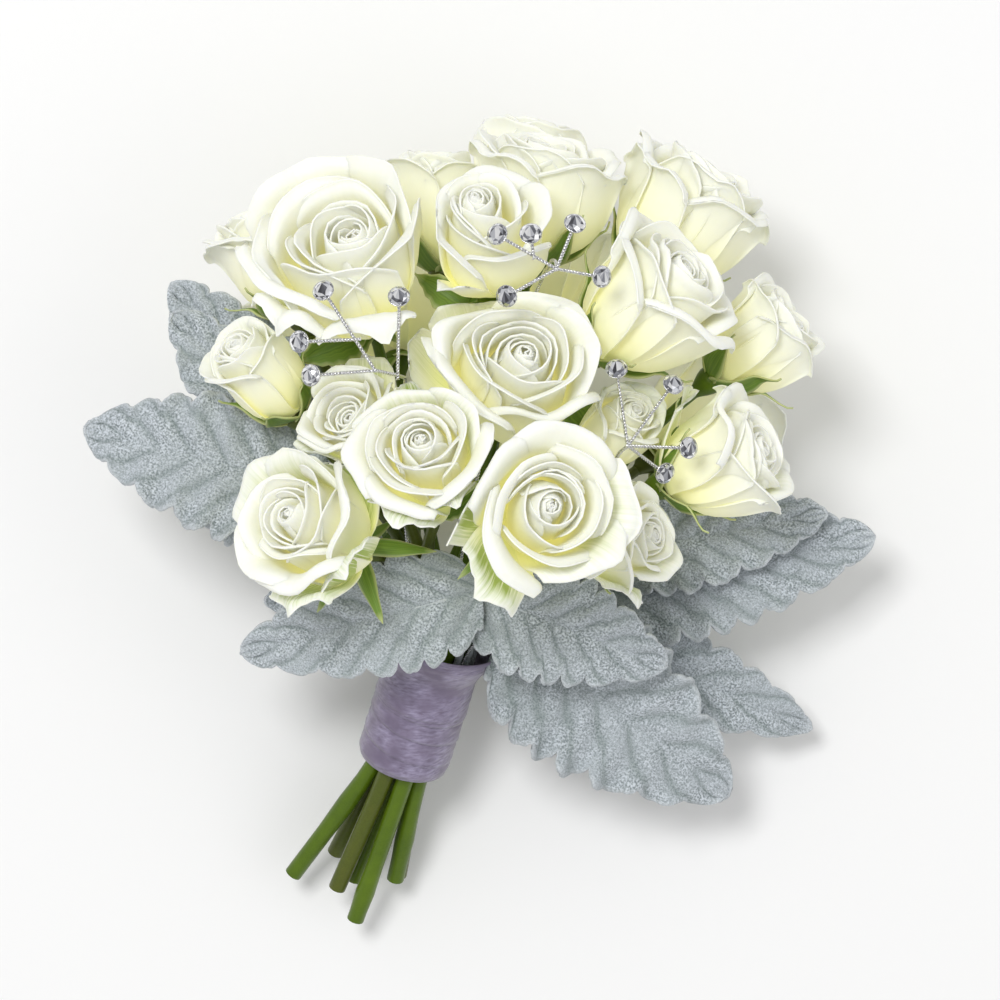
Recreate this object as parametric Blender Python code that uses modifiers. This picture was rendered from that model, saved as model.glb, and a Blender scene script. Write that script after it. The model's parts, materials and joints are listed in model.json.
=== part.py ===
"""Hand-tied bouquet of white spray roses, lying on a table.

Twenty-five blooms on eight branched stems, a collar of silver dusty miller leaves, twisted
wire sprays that carry faceted stones, a binding tape and a satin ribbon wound over it.
Lengths are in metres. The bouquet lies with its stem ends towards -Y and its blooms
towards +Y, and the table is the plane z = 0.
"""

import bmesh
import bpy
import numpy as np
from math import atan2, cos, pi, radians, sin
from mathutils import Matrix, Vector

MM = 0.001

# How the bouquet lies: the handle rises towards the blooms.
TILT = radians(26)
ACROSS = Vector((1, 0, 0))
ALONG = Vector((0, cos(TILT), sin(TILT)))
OUT = Vector((0, -sin(TILT), cos(TILT)))
FOOT = Vector((0, 0, 34.6)) * MM  # the middle of the ribbon's lower end, above the table
FOCUS_AT = 52 * MM  # the point on the handle's axis that the blooms face away from

# The bundle inside the ribbon: one stem in the middle, seven round it, then the leaf stalks.
STEM_R = 2.7 * MM
STEM_GAP = 0.35 * MM
STEMS_ROUND = 7
RING_R = (2 * STEM_R + STEM_GAP) / (2 * sin(pi / STEMS_ROUND))
FIRST_STEM_ANGLE = 13
STALK_R = 1.1 * MM
STALK_RING_R = RING_R + STEM_R + 0.35 * MM + STALK_R
WIRE_R = 0.6 * MM

# The binding tape and the ribbon, along the handle from the ribbon's lower end.
TAPE_FROM, TAPE_TO = 14 * MM, 32 * MM
TAPE_IN_R = STALK_RING_R + STALK_R + 0.3 * MM
TAPE_THICK = 0.6 * MM
RIBBON_IN_R = TAPE_IN_R + TAPE_THICK + 0.3 * MM
RIBBON_THICK = 1.1 * MM
RIBBON_TO = 46 * MM
RIBBON_FLARE = 5.0 * MM
RIBBON_TURNS = 4

# Blooms.
PETAL_THICK = 0.9 * MM
LAP = 0.045  # how far a petal's one edge stands out and the other tucks in, as a share
SHOWN = 0.8  # how much of a petal's later half shows before the next one covers it
NEST = 0.7 * MM  # between a whorl and the one round it
COLUMNS = 15
CELL_GAP = 0.4 * MM  # between blooms where they press on each other
GOLDEN = radians(137.5)
CALYX_R, CALYX_LONG = 4.4 * MM, 7.0 * MM
BRANCH_R = 1.9 * MM
CENTRE_UP = 0.36  # from a bloom's base to its middle, as a share of its width
SEAT = 0.3 * MM  # from the calyx to the bloom that sits on it

# name: (place of its middle in mm, width in mm, how far open, nudge of the way it faces in mm)
BLOOMS = {
    "rose_01": ((-62, 138, 112), 62, 1.00, (12, -34, 50)),
    "rose_02": ((-40, 163, 65), 44, 0.85, (0, 0, 0)),
    "rose_03": ((-19, 153, 112), 45, 0.85, (4, -26, 44)),
    "rose_04": ((-11, 175, 84), 50, 1.00, (0, 0, 10)),
    "rose_05": ((30, 181, 72), 53, 0.98, (8, 0, 10)),
    "rose_06": ((28, 152, 105), 54, 0.95, (34, -6, 8)),
    "rose_07": ((63, 154, 74), 42, 0.80, (8, 0, 10)),
    "rose_08": ((62, 116, 92), 46, 0.90, (10, -6, 6)),
    "rose_09": ((-4, 121, 115), 60, 1.00, (4, -36, 36)),
    "rose_10": ((-20, 91, 131), 46, 0.98, (0, -24, 0)),
    "rose_11": ((17, 85, 133), 51, 1.00, (0, -30, 0)),
    "rose_12": ((-44, 61, 116), 47, 0.95, (-6, -4, 8)),
    "rose_13": ((-45, 94, 110), 40, 0.90, (4, -20, 30)),
    "rose_14": ((-73, 98, 101), 38, 0.74, (-8, 0, 14)),
    "rose_15": ((-83, 132, 70), 42, 0.88, (0, 0, 0)),
    "rose_16": ((40, 86, 97), 39, 0.88, (14, -20, 8)),
    "rose_17": ((-20, 186, 50), 44, 0.90, (0, 0, 0)),
    "rose_18": ((30, 116, 94), 36, 0.80, (0, 0, 40)),
    "rose_19": ((-50, 134, 22), 48, 0.94, (0, 0, 0)),
    "rose_20": ((2, 158, 32), 46, 0.92, (0, 0, 0)),
    "rose_21": ((56, 128, 22), 48, 0.94, (0, 0, 0)),
    "rose_22": ((1, 110, 20), 42, 0.92, (0, 0, 0)),
    "rose_23": ((34, 74, 20), 42, 0.92, (0, 0, 0)),
    "rose_24": ((-35, 78, 20), 43, 0.92, (0, 0, 0)),
    "rose_25": ((-78, 102, 34), 44, 0.90, (0, 0, 0)),
}
RESTING = ("rose_19", "rose_21", "rose_23", "rose_24")  # these lie on the table
PRESSED = 1.0 * MM  # how much of the petals' edges the table flattens
FULL_BLOOMS = tuple(f"rose_{n:02}" for n in (1, 3, 4, 6, 8, 9, 10, 11, 12, 13))

# Stems: slot in the bundle (None is the middle), where the cut end lies (across and out from
# the axis, and along it, in mm), how far past the ribbon it forks, and the blooms it bears.
STEMS = {
    "spray_middle": (None, (-3.0, -1.0, -48), 30, ("rose_03", "rose_04", "rose_06", "rose_09")),
    "spray_right": (0, (9.5, -0.5, -43), 8, ("rose_07", "rose_08")),
    "spray_upper_right": (1, (1.5, 8.5, -56), 22, ("rose_11", "rose_16", "rose_18")),
    "spray_upper_left": (2, (-7.0, 7.0, -48), 26, ("rose_10", "rose_12", "rose_13")),
    "stem_large_rose": (3, (-21.5, 4.0, -50), 20, ("rose_01",)),
    "spray_left": (4, (-11.0, -8.0, -45), 8, ("rose_02", "rose_14", "rose_15")),
    "spray_lower_left": (5, (-0.5, -12.2, -50), 6, ("rose_19", "rose_22", "rose_24", "rose_25")),
    "spray_lower_right": (6, (10.0, -8.5, -46), 6, ("rose_05", "rose_17", "rose_20", "rose_21", "rose_23")),
}

# Dusty miller leaves: angle of the stalk round the bundle, root and tip of the blade in mm,
# how much the blade arches up, its width, lobes a side, and the blade's roll in degrees.
LEAVES = {
    "leaf_left": (148, (-50, 71, 80), (-121, 67, 72), 6, 46, 7, 6),
    "leaf_left_upper": (186, (-55, 80, 70), (-107, 108, 68), 5, 36, 6, 0),
    "leaf_left_far": (200, (-56, 86, 56), (-112, 117, 50), 4, 36, 6, 0),
    "leaf_front_left": (99, (1, 54, 84), (-56, 17, 66), 11, 38, 7, -12),
    "leaf_front_right": (50, (13, 56, 80), (67, 53, 70), 8, 40, 7, 16),
    "leaf_right_low": (29, (21, 48, 61), (99, 20, 35), 7, 55, 7, 8),
    "leaf_right_upper": (0, (44, 82, 50), (100, 112, 53), 3, 34, 7, 0),
    "leaf_right": (-13.5, (40, 68, 44), (117, 110, 42), 4, 44, 8, 0),
    "leaf_right_far": (-27, (38, 54, 38), (119, 47, 18), 6, 32, 6, 0),
    "leaf_under_right": (-57.6, (26, 47, 29), (70, 38, 6), 5, 32, 5, 0),
    "leaf_under_left": (-109, (-25, 46, 28), (-56, 32, 9), 5, 24, 5, 0),
    "leaf_under_far_left": (-122, (-38, 60, 41), (-90, 57, 11), 5, 36, 6, 0),
}
LEAF_THICK = 1.0 * MM

# Wire sprays: angle of the wire round the bundle, points up to the fork in mm, and each twig
# as the place where it leaves the fork's wire and the place of its stone.
WIRES = {
    "jewel_spray_left": (
        134,
        ((-30, 92, 88), (-33, 110, 104), (-33, 110, 130), (-41, 109, 138)),
        (
            ((-41, 109, 138), (-58, 102, 139)),
            ((-41, 109, 138), (-62, 126, 140)),
            ((-48, 116, 139), (-64, 110, 141)),
            ((-34.5, 109, 131.5), (-41, 131, 141)),
        ),
    ),
    "jewel_spray_middle": (
        80,
        ((-5, 92, 83.2), (-7, 120, 86.2), (-4, 156, 100), (-2, 155, 132), (-1, 152, 142)),
        (
            ((-1, 152, 142), (-12, 140, 148)),
            ((-1, 152, 142), (-20, 156, 145)),
            ((-1, 152, 142), (12, 154, 141)),
            ((-8, 153, 143), (-11, 159, 147)),
            ((-1, 152, 142), (0, 166, 142)),
        ),
    ),
    "jewel_spray_right": (
        39.5,
        ((20, 70, 74), (28, 98, 83), (33, 104, 98), (32, 108, 122), (34, 111, 127)),
        (
            ((34, 111, 127), (24, 131, 131)),
            ((34, 111, 127), (41, 132, 126)),
            ((34, 111, 127), (51, 116, 124)),
            ((34, 111, 127), (47, 107, 120)),
        ),
    ),
}
STONE_R, STONE_HIGH = 3.0 * MM, 3.6 * MM


def new_collection(name, helper=False):
    made = bpy.data.collections.new(name)
    bpy.context.scene.collection.children.link(made)
    made.hide_render = helper
    return made


def add_object(name, mesh, collection):
    made = bpy.data.objects.new(name, mesh)
    collection.objects.link(made)
    return made


def evaluated_mesh(obj):
    bpy.context.view_layer.update()
    return bpy.data.meshes.new_from_object(obj.evaluated_get(bpy.context.evaluated_depsgraph_get()))


def without_scraps(mesh):
    """The mesh with only its largest body, since a union can leave a loose scrap."""
    solid = bmesh.new()
    solid.from_mesh(mesh)
    left, bodies = set(solid.verts), []
    while left:
        body, edge = set(), {left.pop()}
        while edge:
            body |= edge
            edge = {e.other_vert(v) for v in edge for e in v.link_edges} - body
        left -= body
        bodies.append(body)
    largest = max(bodies, key=len)
    bmesh.ops.delete(solid, geom=[v for v in solid.verts if v not in largest], context="VERTS")
    solid.to_mesh(mesh)
    solid.free()
    return mesh


def fused(name, pieces, collection):
    """One object made of the pieces by a Boolean union, with the pieces removed."""
    first, rest = pieces[0], pieces[1:]
    joined = bpy.data.collections.new(name + "_pieces")
    bpy.context.scene.collection.children.link(joined)
    for piece in rest:
        for owner in piece.users_collection:
            owner.objects.unlink(piece)
        joined.objects.link(piece)
    union = first.modifiers.new("union", "BOOLEAN")
    union.operation = "UNION"
    union.operand_type = "COLLECTION"
    union.collection = joined
    union.solver = "EXACT"
    made = add_object(name, without_scraps(evaluated_mesh(first)), collection)
    made.data.name = name
    for piece in pieces:
        bpy.data.objects.remove(piece)
    bpy.data.collections.remove(joined)
    return made


def cut_at_table(obj):
    """Presses the object flat where it meets the table."""
    slab_deep = 20 * MM
    bpy.ops.mesh.primitive_cube_add(size=1, location=(0, 0, -slab_deep / 2), scale=(1, 1, slab_deep))
    slab = bpy.context.object
    slab.hide_render = True
    cut = obj.modifiers.new("table", "BOOLEAN")
    cut.operation = "DIFFERENCE"
    cut.object = slab
    mesh = evaluated_mesh(obj)
    obj.modifiers.clear()
    obj.data = mesh
    bpy.data.objects.remove(slab)


def material(name, colour, roughness, metallic=0.0):
    made = bpy.data.materials.new(name)
    made.use_nodes = True
    shader = made.node_tree.nodes["Principled BSDF"]
    shader.inputs["Base Color"].default_value = (*colour, 1)
    shader.inputs["Roughness"].default_value = roughness
    shader.inputs["Metallic"].default_value = metallic
    return made


def smooth(x):
    x = np.clip(x, 0.0, 1.0)
    return x * x * (3 - 2 * x)


def at_handle(along, across=0.0, out=0.0):
    """A point of the handle: along its axis from the ribbon's lower end, and off the axis."""
    return FOOT + ALONG * along + ACROSS * across + OUT * out


def round_handle(along, radius, angle):
    return at_handle(along, radius * cos(radians(angle)), radius * sin(radians(angle)))


def bezier(ends, steps):
    """Points along the cubic Bezier curve of four points."""
    a, b, c, d = ends
    made = []
    for i in range(steps + 1):
        t = i / steps
        made.append(a * (1 - t) ** 3 + b * 3 * t * (1 - t) ** 2 + c * 3 * t * t * (1 - t) + d * t**3)
    return made


def tube(name, points, radii, collection, roundness=1):
    """A round bar through the points, as a mesh with its end caps welded on."""
    curve = bpy.data.curves.new(name, "CURVE")
    curve.dimensions = "3D"
    curve.bevel_depth = 1.0
    curve.bevel_resolution = roundness
    curve.use_fill_caps = True
    spline = curve.splines.new("POLY")
    spline.points.add(len(points) - 1)
    for knot, place, radius in zip(spline.points, points, radii):
        knot.co = (*place, 1)
        knot.radius = radius
    shaped = add_object(name, curve, collection)
    mesh = evaluated_mesh(shaped)
    bpy.data.objects.remove(shaped)
    solid = bmesh.new()
    solid.from_mesh(mesh)
    bmesh.ops.remove_doubles(solid, verts=solid.verts, dist=0.01 * MM)
    solid.to_mesh(mesh)
    solid.free()
    return add_object(name, mesh, collection)


def shaped_grid(name, across, along, place, thick, collection):
    """A thin blade: a grid whose points place(s, t) moves, with s from -1 to 1 and t from 0 to 1."""
    sheet = bmesh.new()
    bmesh.ops.create_grid(sheet, x_segments=across, y_segments=along, size=1)
    bmesh.ops.triangulate(sheet, faces=sheet.faces, quad_method="FIXED")
    s = np.array([v.co.x for v in sheet.verts])
    t = np.array([(v.co.y + 1) / 2 for v in sheet.verts])
    for vert, co in zip(sheet.verts, place(s, t)):
        vert.co = co
    mesh = bpy.data.meshes.new(name)
    sheet.to_mesh(mesh)
    sheet.free()
    made = add_object(name, mesh, collection)
    shell = made.modifiers.new("thickness", "SOLIDIFY")
    shell.thickness = thick
    shell.offset = 0
    made.data = evaluated_mesh(made)
    made.modifiers.clear()
    return made


class Bloom:
    """Where a bloom sits, the way it faces and the form of its petals."""

    PETALS = 17

    def __init__(self, name, middle, width, opened, nudge):
        self.name = name
        self.middle = Vector(middle) * MM
        self.girth = width * MM  # what it takes of the dome
        self.width = 1.08 * self.girth  # before its neighbours press on it
        self.opened = opened
        self.facing = (self.middle - at_handle(FOCUS_AT) + Vector(nudge) * MM).normalized()
        self.base = self.middle - self.facing * CENTRE_UP * self.width
        self.turn = self.facing.to_track_quat("Z", "Y").to_matrix()
        self.draws = np.random.default_rng(int(name[-2:]))
        self.petals = [self.petal(i) for i in range(self.PETALS)]
        self.squeezes = []

    def petal(self, i):
        """The form of petal i, counted from the heart outwards."""
        o = self.opened * (i / (self.PETALS - 1)) ** 0.9
        draw = self.draws
        return dict(
            o=o,
            turn=i * GOLDEN + draw.normal(0, 0.08),
            shut=draw.normal(0, 2) * o,
            rim=draw.normal(0, 9) * o,
            wave=0.010 * o,
            phase=draw.uniform(0, 2 * pi),
            roll=draw.uniform(0.6, 1.3),
        )

    def midline(self, form):
        """(share, radius, height) down the middle of a petal, from its root to its rim."""
        o, width = form["o"], self.width
        share = np.linspace(0, 1, 61)
        start = 74 - 50 * o**0.7
        belly = 98 - 14 * o**1.4 + form["shut"]
        rim = 104 - 105 * o**2 + form["rim"]
        slope = start + (belly - start) * smooth(share / 0.56) + (rim - belly) * smooth((share - 0.66) / 0.34)
        slope = np.radians(slope)
        step = width * (0.74 + 0.10 * o) * share[1]
        radius = width * (0.035 + 0.02 * o) + np.concatenate([[0], np.cumsum(np.cos(slope[:-1]) * step)])
        height = np.concatenate([[0], np.cumsum(np.sin(slope[:-1]) * step)])
        return share, np.maximum(radius, 0.004 * width), height

    def lifted(self, form, s, t):
        """(radius, height) of a petal's middle surface: s from -1 to 1 across, t from root to rim."""
        share, radius, height = self.midline(form)
        reach = t * (1 - 0.07 * np.abs(s) ** 2.3)
        back = form["o"] ** 1.5 * np.clip(np.abs(s) - 0.45, 0, 1) ** 1.6 * smooth((t - 0.45) / 0.55)
        out = np.interp(reach, share, radius) * (1 + LAP * s) + 0.10 * self.width * back
        return out, np.interp(reach, share, height) - 0.06 * self.width * back

    def spans(self, forms):
        """(form, angle, angle to the edge before it, angle to the edge after it) round a whorl."""
        turns = [form["turn"] % (2 * pi) for form in forms]
        ahead = [(b - a) % (2 * pi) / 2 for a, b in zip(turns, turns[1:] + turns[:1])]
        return list(zip(forms, turns, ahead[-1:] + ahead[:-1], ahead))

    def whorl(self, forms, s, t):
        """Points of a ring of petals that overlap edge on edge: s runs from -1 to 1 across each."""
        made = []
        for form, turn, before, after in self.spans(forms):
            out, height = self.lifted(form, s, t)
            angle = turn + np.where(s < 0, s * before, s * after * SHOWN)
            made.append(np.stack([out * np.cos(angle), out * np.sin(angle), height], -1))
        return np.concatenate(made)

    def met(self, forms, angle):
        """The petal of a whorl that lies at an angle, and how far across it that is."""
        for form, turn, before, after in self.spans(forms):
            off = (angle - turn + pi) % (2 * pi) - pi
            if -before <= off < after:
                return form, off / before if off < 0 else min(off / (after * SHOWN), 1.0)
        return forms[0], -1.0

    def placed(self, points):
        """Points of the bloom's own frame, in the bouquet."""
        return points @ np.array(self.turn).T + np.array(self.base)

    def settle(self, blooms, bars):
        """Works out how the neighbours, the stems, the wires and the table squeeze this bloom."""
        planes = self.planes(blooms, bars)
        s, outer = np.linspace(-1, 1, 7), self.ring(12, 17)
        reach = self.placed(np.concatenate([self.whorl(outer, s, t) for t in np.linspace(0.2, 1, 9)]))
        middle = np.array(self.middle)
        for normal, at in planes + planes:
            room, far = (at - middle) @ normal, ((reach - middle) @ normal).max()
            if far > room:
                self.squeezes.append((normal, room, far))
                reach = squeeze(reach, middle, normal, room, far)
        self.walls = planes

    def ring(self, first, last):
        """The petals of one whorl, in order round the bloom."""
        return sorted(self.petals[first:last], key=lambda form: form["turn"] % (2 * pi))

    def planes(self, blooms, bars):
        """The planes that bound the bloom: (normal, a point on the plane)."""
        found = []
        keep = CELL_GAP / 2 + PETAL_THICK / 2
        for other in blooms:
            apart = other.middle - self.middle
            gap = apart.length
            if other is self or gap > 0.75 * (self.width + other.width):
                continue
            share = (gap**2 + (self.girth / 2) ** 2 - (other.girth / 2) ** 2) / (2 * gap)
            normal = apart / gap
            found.append((np.array(normal), np.array(self.middle + normal * (share - keep))))
        for start, end, radius, owner in bars:
            along = (end - start).normalized()
            nearest = start + along * min(max((self.middle - start).dot(along), 0), (end - start).length)
            apart = nearest - self.middle
            if owner is not self and apart.length < 0.75 * self.width:
                normal = apart.normalized()
                at = nearest - normal * (radius + 0.2 * MM + keep)
                found.append((np.array(normal), np.array(at)))
        low = -PRESSED if self.name in RESTING else 1.2 * MM
        found.append((np.array((0.0, 0.0, -1.0)), np.array((self.middle.x, self.middle.y, low))))
        return found

    def squeezed(self, points):
        """The points, moved clear of the neighbouring blooms, the wires and the table."""
        middle = np.array(self.middle)
        for normal, room, far in self.squeezes:
            points = squeeze(points, middle, normal, room, far)
        for normal, at in self.walls:
            points = press(points, normal, at, 0.12 * MM)
        return points


def squeeze(points, middle, normal, room, far):
    """Draws in what lies on one side of the middle, so that what was far off just fits the room."""
    off = (points - middle) @ normal
    more = far / room - 1
    share = np.maximum(off, 0) / far
    drawn = np.where(off > 0, room * (1 + more) * share / (1 + more * share), off)
    return points + np.outer(drawn - off, normal)


def press(points, normal, at, soft):
    """Points past a plane are pressed back to it, with a soft bend."""
    past = (points - at) @ normal
    pressed = -soft * np.logaddexp(0, -past / soft)
    return points + np.outer(pressed - past, normal)


# The rows of a bloom's skin, from the foot out and up over each whorl and in to the heart:
# (first and last petal of the whorl, how far up the petal, which face of it).
FULL_ROWS = (
    (12, 17, 0.28, 1), (12, 17, 0.58, 1), (12, 17, 0.82, 1), (12, 17, 1.0, 1), (12, 17, 1.0, -1),
    (12, 17, 0.84, -1), (7, 12, 0.80, 1), (7, 12, 1.0, 1), (7, 12, 1.0, -1), (7, 12, 0.82, -1),
    (3, 6, 0.82, 1), (3, 6, 1.0, 1), (3, 6, 1.0, -1), (3, 6, 0.88, -1),
)
PLAIN_ROWS = (
    (12, 17, 0.28, 1), (12, 17, 0.64, 1), (12, 17, 1.0, 1), (12, 17, 1.0, -1), (12, 17, 0.72, -1),
    (6, 11, 0.76, 1), (6, 11, 1.0, 1), (6, 11, 1.0, -1), (6, 11, 0.86, -1),
)


def skin_column(bloom, rows, angle):
    """The skin's points in the half-plane at one angle, each whorl held inside the one round it."""
    column, walls = [], {}
    for first, last, t, side in rows:
        form, s = bloom.met(bloom.ring(first, last), angle)
        (r0, z0), (r, z), (r1, z1) = (bloom.lifted(form, s, t + step) for step in (-0.01, 0, 0.001))
        slope = np.array([z1 - z0, r0 - r1])
        r, z = np.array([r, z]) + side * slope / np.linalg.norm(slope) * PETAL_THICK / 2
        for whorl, inside in walls.items():
            if whorl != first:
                room = np.interp(z, *np.array(sorted(inside)).T) - NEST
                r = min(r, room) if z < max(inside)[0] + NEST else r
        if side < 0:
            walls.setdefault(first, []).append((z, r))
        column.append((max(r, 0.3 * MM) * cos(angle), max(r, 0.3 * MM) * sin(angle), z))
    return column


def make_bloom(bloom, petal_white, collection):
    """A bloom whose petals stand in whorls out of its skin, each overlapping the next."""
    width = bloom.width
    rows = FULL_ROWS if bloom.name in FULL_BLOOMS else PLAIN_ROWS
    angles = []
    for form, turn, before, after in bloom.spans(bloom.ring(12, 17)):
        angles += [turn - before, turn, turn + after * SHOWN]
    foot = np.array([(cos(angle), sin(angle), 0) for angle in angles])
    columns = np.array([skin_column(bloom, rows, angle) for angle in angles])
    heart = bloom.ring(rows[-1][0], rows[-1][1])
    top = bloom.midline(heart[0])[2][-1]
    skin = [foot * 0.0, foot * 0.07 * width, *columns.swapaxes(0, 1)]
    skin.append(foot * 0.0 + np.array([0, 0, top - 0.03 * width]))
    skin = [bloom.squeezed(bloom.placed(row)) for row in skin]
    shell = bmesh.new()
    bmesh.ops.create_grid(shell, x_segments=COLUMNS, y_segments=len(skin) - 1, size=1)
    # Both faces of a petal are split along the same diagonal, so that they can't cross.
    sides = [1, 1, *(row[3] for row in rows), 1]
    inner = []
    for face in shell.faces:
        row = int((face.calc_center_median().y + 1) / 2 * (len(skin) - 1))
        if sides[row] < 0 and sides[row + 1] < 0:
            inner.append(face)
    bmesh.ops.triangulate(shell, faces=inner, quad_method="ALTERNATE")
    quads = [face for face in shell.faces if len(face.verts) == 4]
    bmesh.ops.triangulate(shell, faces=quads, quad_method="FIXED")
    for vert in shell.verts:
        column = round((vert.co.x + 1) / 2 * COLUMNS) % COLUMNS
        row = round((vert.co.y + 1) / 2 * (len(skin) - 1))
        vert.co = skin[row][column]
    bmesh.ops.remove_doubles(shell, verts=shell.verts, dist=0.001 * MM)
    bmesh.ops.recalc_face_normals(shell, faces=shell.faces)
    mesh = bpy.data.meshes.new(bloom.name)
    shell.to_mesh(mesh)
    shell.free()
    made = add_object(bloom.name, mesh, collection)
    if bloom.name in RESTING:
        cut_at_table(made)
    made.data.materials.append(petal_white)
    return made


def calyx(bloom, collection):
    """The green cup under a bloom with its five sepals, pulled out of the cup's rim."""
    cup = bmesh.new()
    bmesh.ops.create_cone(
        cup, cap_ends=True, segments=5, radius1=1.8 * MM, radius2=CALYX_R, depth=CALYX_LONG
    )
    bmesh.ops.translate(cup, verts=cup.verts, vec=(0, 0, -CALYX_LONG / 2 - 1.0 * MM - SEAT))
    top = max(cup.faces, key=lambda f: f.calc_center_median().z)
    band = bmesh.ops.extrude_face_region(cup, geom=[top])
    bmesh.ops.delete(cup, geom=[top], context="FACES_ONLY")
    lifted = [g for g in band["geom"] if isinstance(g, bmesh.types.BMVert)]
    bmesh.ops.translate(cup, verts=lifted, vec=(0, 0, 1.0 * MM))
    cup.normal_update()
    rim = [
        f
        for f in cup.faces
        if abs(f.normal.z) < 0.1 and f.calc_center_median().z > -1.1 * MM - SEAT
    ]
    sepals = bmesh.ops.extrude_discrete_faces(cup, faces=rim)["faces"]
    long = (0.26 if bloom.name in FULL_BLOOMS else 0.18) * bloom.width + 5 * MM

    def sepal(middle, out, droop, curl, long):
        """Where a sepal bends and where it ends."""
        bend = middle + (out * cos(droop) + Vector((0, 0, sin(droop)))) * long * 0.45
        return bend, bend + (out * cos(curl) + Vector((0, 0, sin(curl)))) * long * 0.55

    def free(point):
        placed = np.array(bloom.base + bloom.turn @ point)
        return all((at - placed) @ normal > 2.8 * MM for normal, at in bloom.walls)

    for face in sorted(sepals, key=lambda f: round(atan2(f.normal.y, f.normal.x), 3)):
        out = face.normal.copy()
        middle = face.calc_center_median()
        droop = radians(bloom.draws.uniform(-38, -6))
        curl = droop + radians(bloom.draws.uniform(-10, 20))
        reach = long
        # A sepal with no room beside it lies further back along the stem, or is shorter.
        while reach > 0.4 * long and not all(free(p) for p in sepal(middle, out, droop, curl, reach)):
            if droop > radians(-62):
                droop, curl = droop - radians(6), curl - radians(6)
            else:
                reach *= 0.9
        bend, end = sepal(middle, out, droop, curl, reach)
        tip = face
        if bloom.name in FULL_BLOOMS:
            for vert in face.verts:
                vert.co = bend + (vert.co - middle) * 0.95
            tip = bmesh.ops.extrude_discrete_faces(cup, faces=[face])["faces"][0]
        for vert in tip.verts:
            vert.co = end
    bmesh.ops.remove_doubles(cup, verts=cup.verts, dist=0.01 * MM)
    bmesh.ops.recalc_face_normals(cup, faces=cup.faces)
    bmesh.ops.triangulate(cup, faces=cup.faces)
    for vert in cup.verts:
        vert.co = bloom.base + bloom.turn @ vert.co
    mesh = bpy.data.meshes.new("calyx")
    cup.to_mesh(mesh)
    cup.free()
    return add_object("calyx", mesh, collection)


def slot_place(slot, along):
    """A point of a stem in the bundle. The middle one leans on the lowest of the ring."""
    if slot is None:
        return at_handle(along, 0, 2 * STEM_R + SEAT - RING_R)
    return round_handle(along, RING_R, FIRST_STEM_ANGLE + slot * 360 / STEMS_ROUND)


def stem_plan(slot, cut_end, fork_past, bears, blooms):
    """The points of a rose stem from its cut end to its fork, and of the branch to each bloom."""
    borne = [b for b in blooms if b.name in bears]
    way = sum(((b.base - at_handle(FOCUS_AT)).normalized() for b in borne), Vector()).normalized()
    leaving = slot_place(slot, RIBBON_TO)
    fork = leaving + (ALONG + way).normalized() * fork_past * MM
    across, out, along = (v * MM for v in cut_end)
    stem = [at_handle(along, across, out), slot_place(slot, -2 * MM), slot_place(slot, 10 * MM)]
    stem += [leaving, fork]
    branches = []
    for bloom in borne:
        neck = bloom.base - bloom.facing * CALYX_LONG * 0.9
        start = fork - way * 3 * MM
        pull = (neck - start).length * 0.4
        branches.append((bloom, bezier((start, start + way * pull, neck - bloom.facing * pull, neck), 3)))
    return stem, branches


def bars_of(plans):
    """What blooms give way to: (one end, other end, radius, the bloom that it bears)."""
    bars = []
    for angle, route, twigs in WIRES.values():
        way = [Vector(p) * MM for p in route]
        bars += [(a, b, WIRE_R, None) for a, b in zip(way, way[1:])]
        bars += [(Vector(a) * MM, Vector(b) * MM, WIRE_R, None) for a, b in twigs]
    for stem, branches in plans.values():
        bars.append((stem[-2], stem[-1], STEM_R, None))
        for bloom, points in branches:
            bars += [(a, b, BRANCH_R, bloom) for a, b in zip(points, points[1:])]
            bars.append((points[-1], bloom.base, CALYX_R, bloom))
    return bars


def make_stem(name, plan, green, collection):
    """A rose stem that runs through the ribbon to its fork, with a branch to each bloom."""
    stem, branches = plan
    pieces = [tube("stem", stem, [STEM_R * k for k in (1.0, 1.0, 1.0, 0.97, 0.85)], collection)]
    for bloom, points in branches:
        radii = np.linspace(BRANCH_R, 0.85 * BRANCH_R, len(points))
        pieces.append(tube("branch", points, radii, collection, roundness=0))
        pieces.append(calyx(bloom, collection))
    made = fused(name, pieces, collection)
    if min(v.co.z for v in made.data.vertices) < 0:
        cut_at_table(made)
    made.data.materials.append(green)
    return made


def leaf_outline(t, lobes):
    """Half the blade's width along it, as a share of the widest: an oval with rounded lobes."""
    oval = np.sin(pi * np.clip(t, 0, 1) ** 0.85) ** 0.55
    oval = np.maximum(oval, 0.10 + 0.12 * smooth(t / 0.2) * (t < 0.5))
    notch = 1 - np.abs(np.sin(pi * lobes * t)) ** 0.7
    return oval * (1 - 0.20 * notch)


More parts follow.
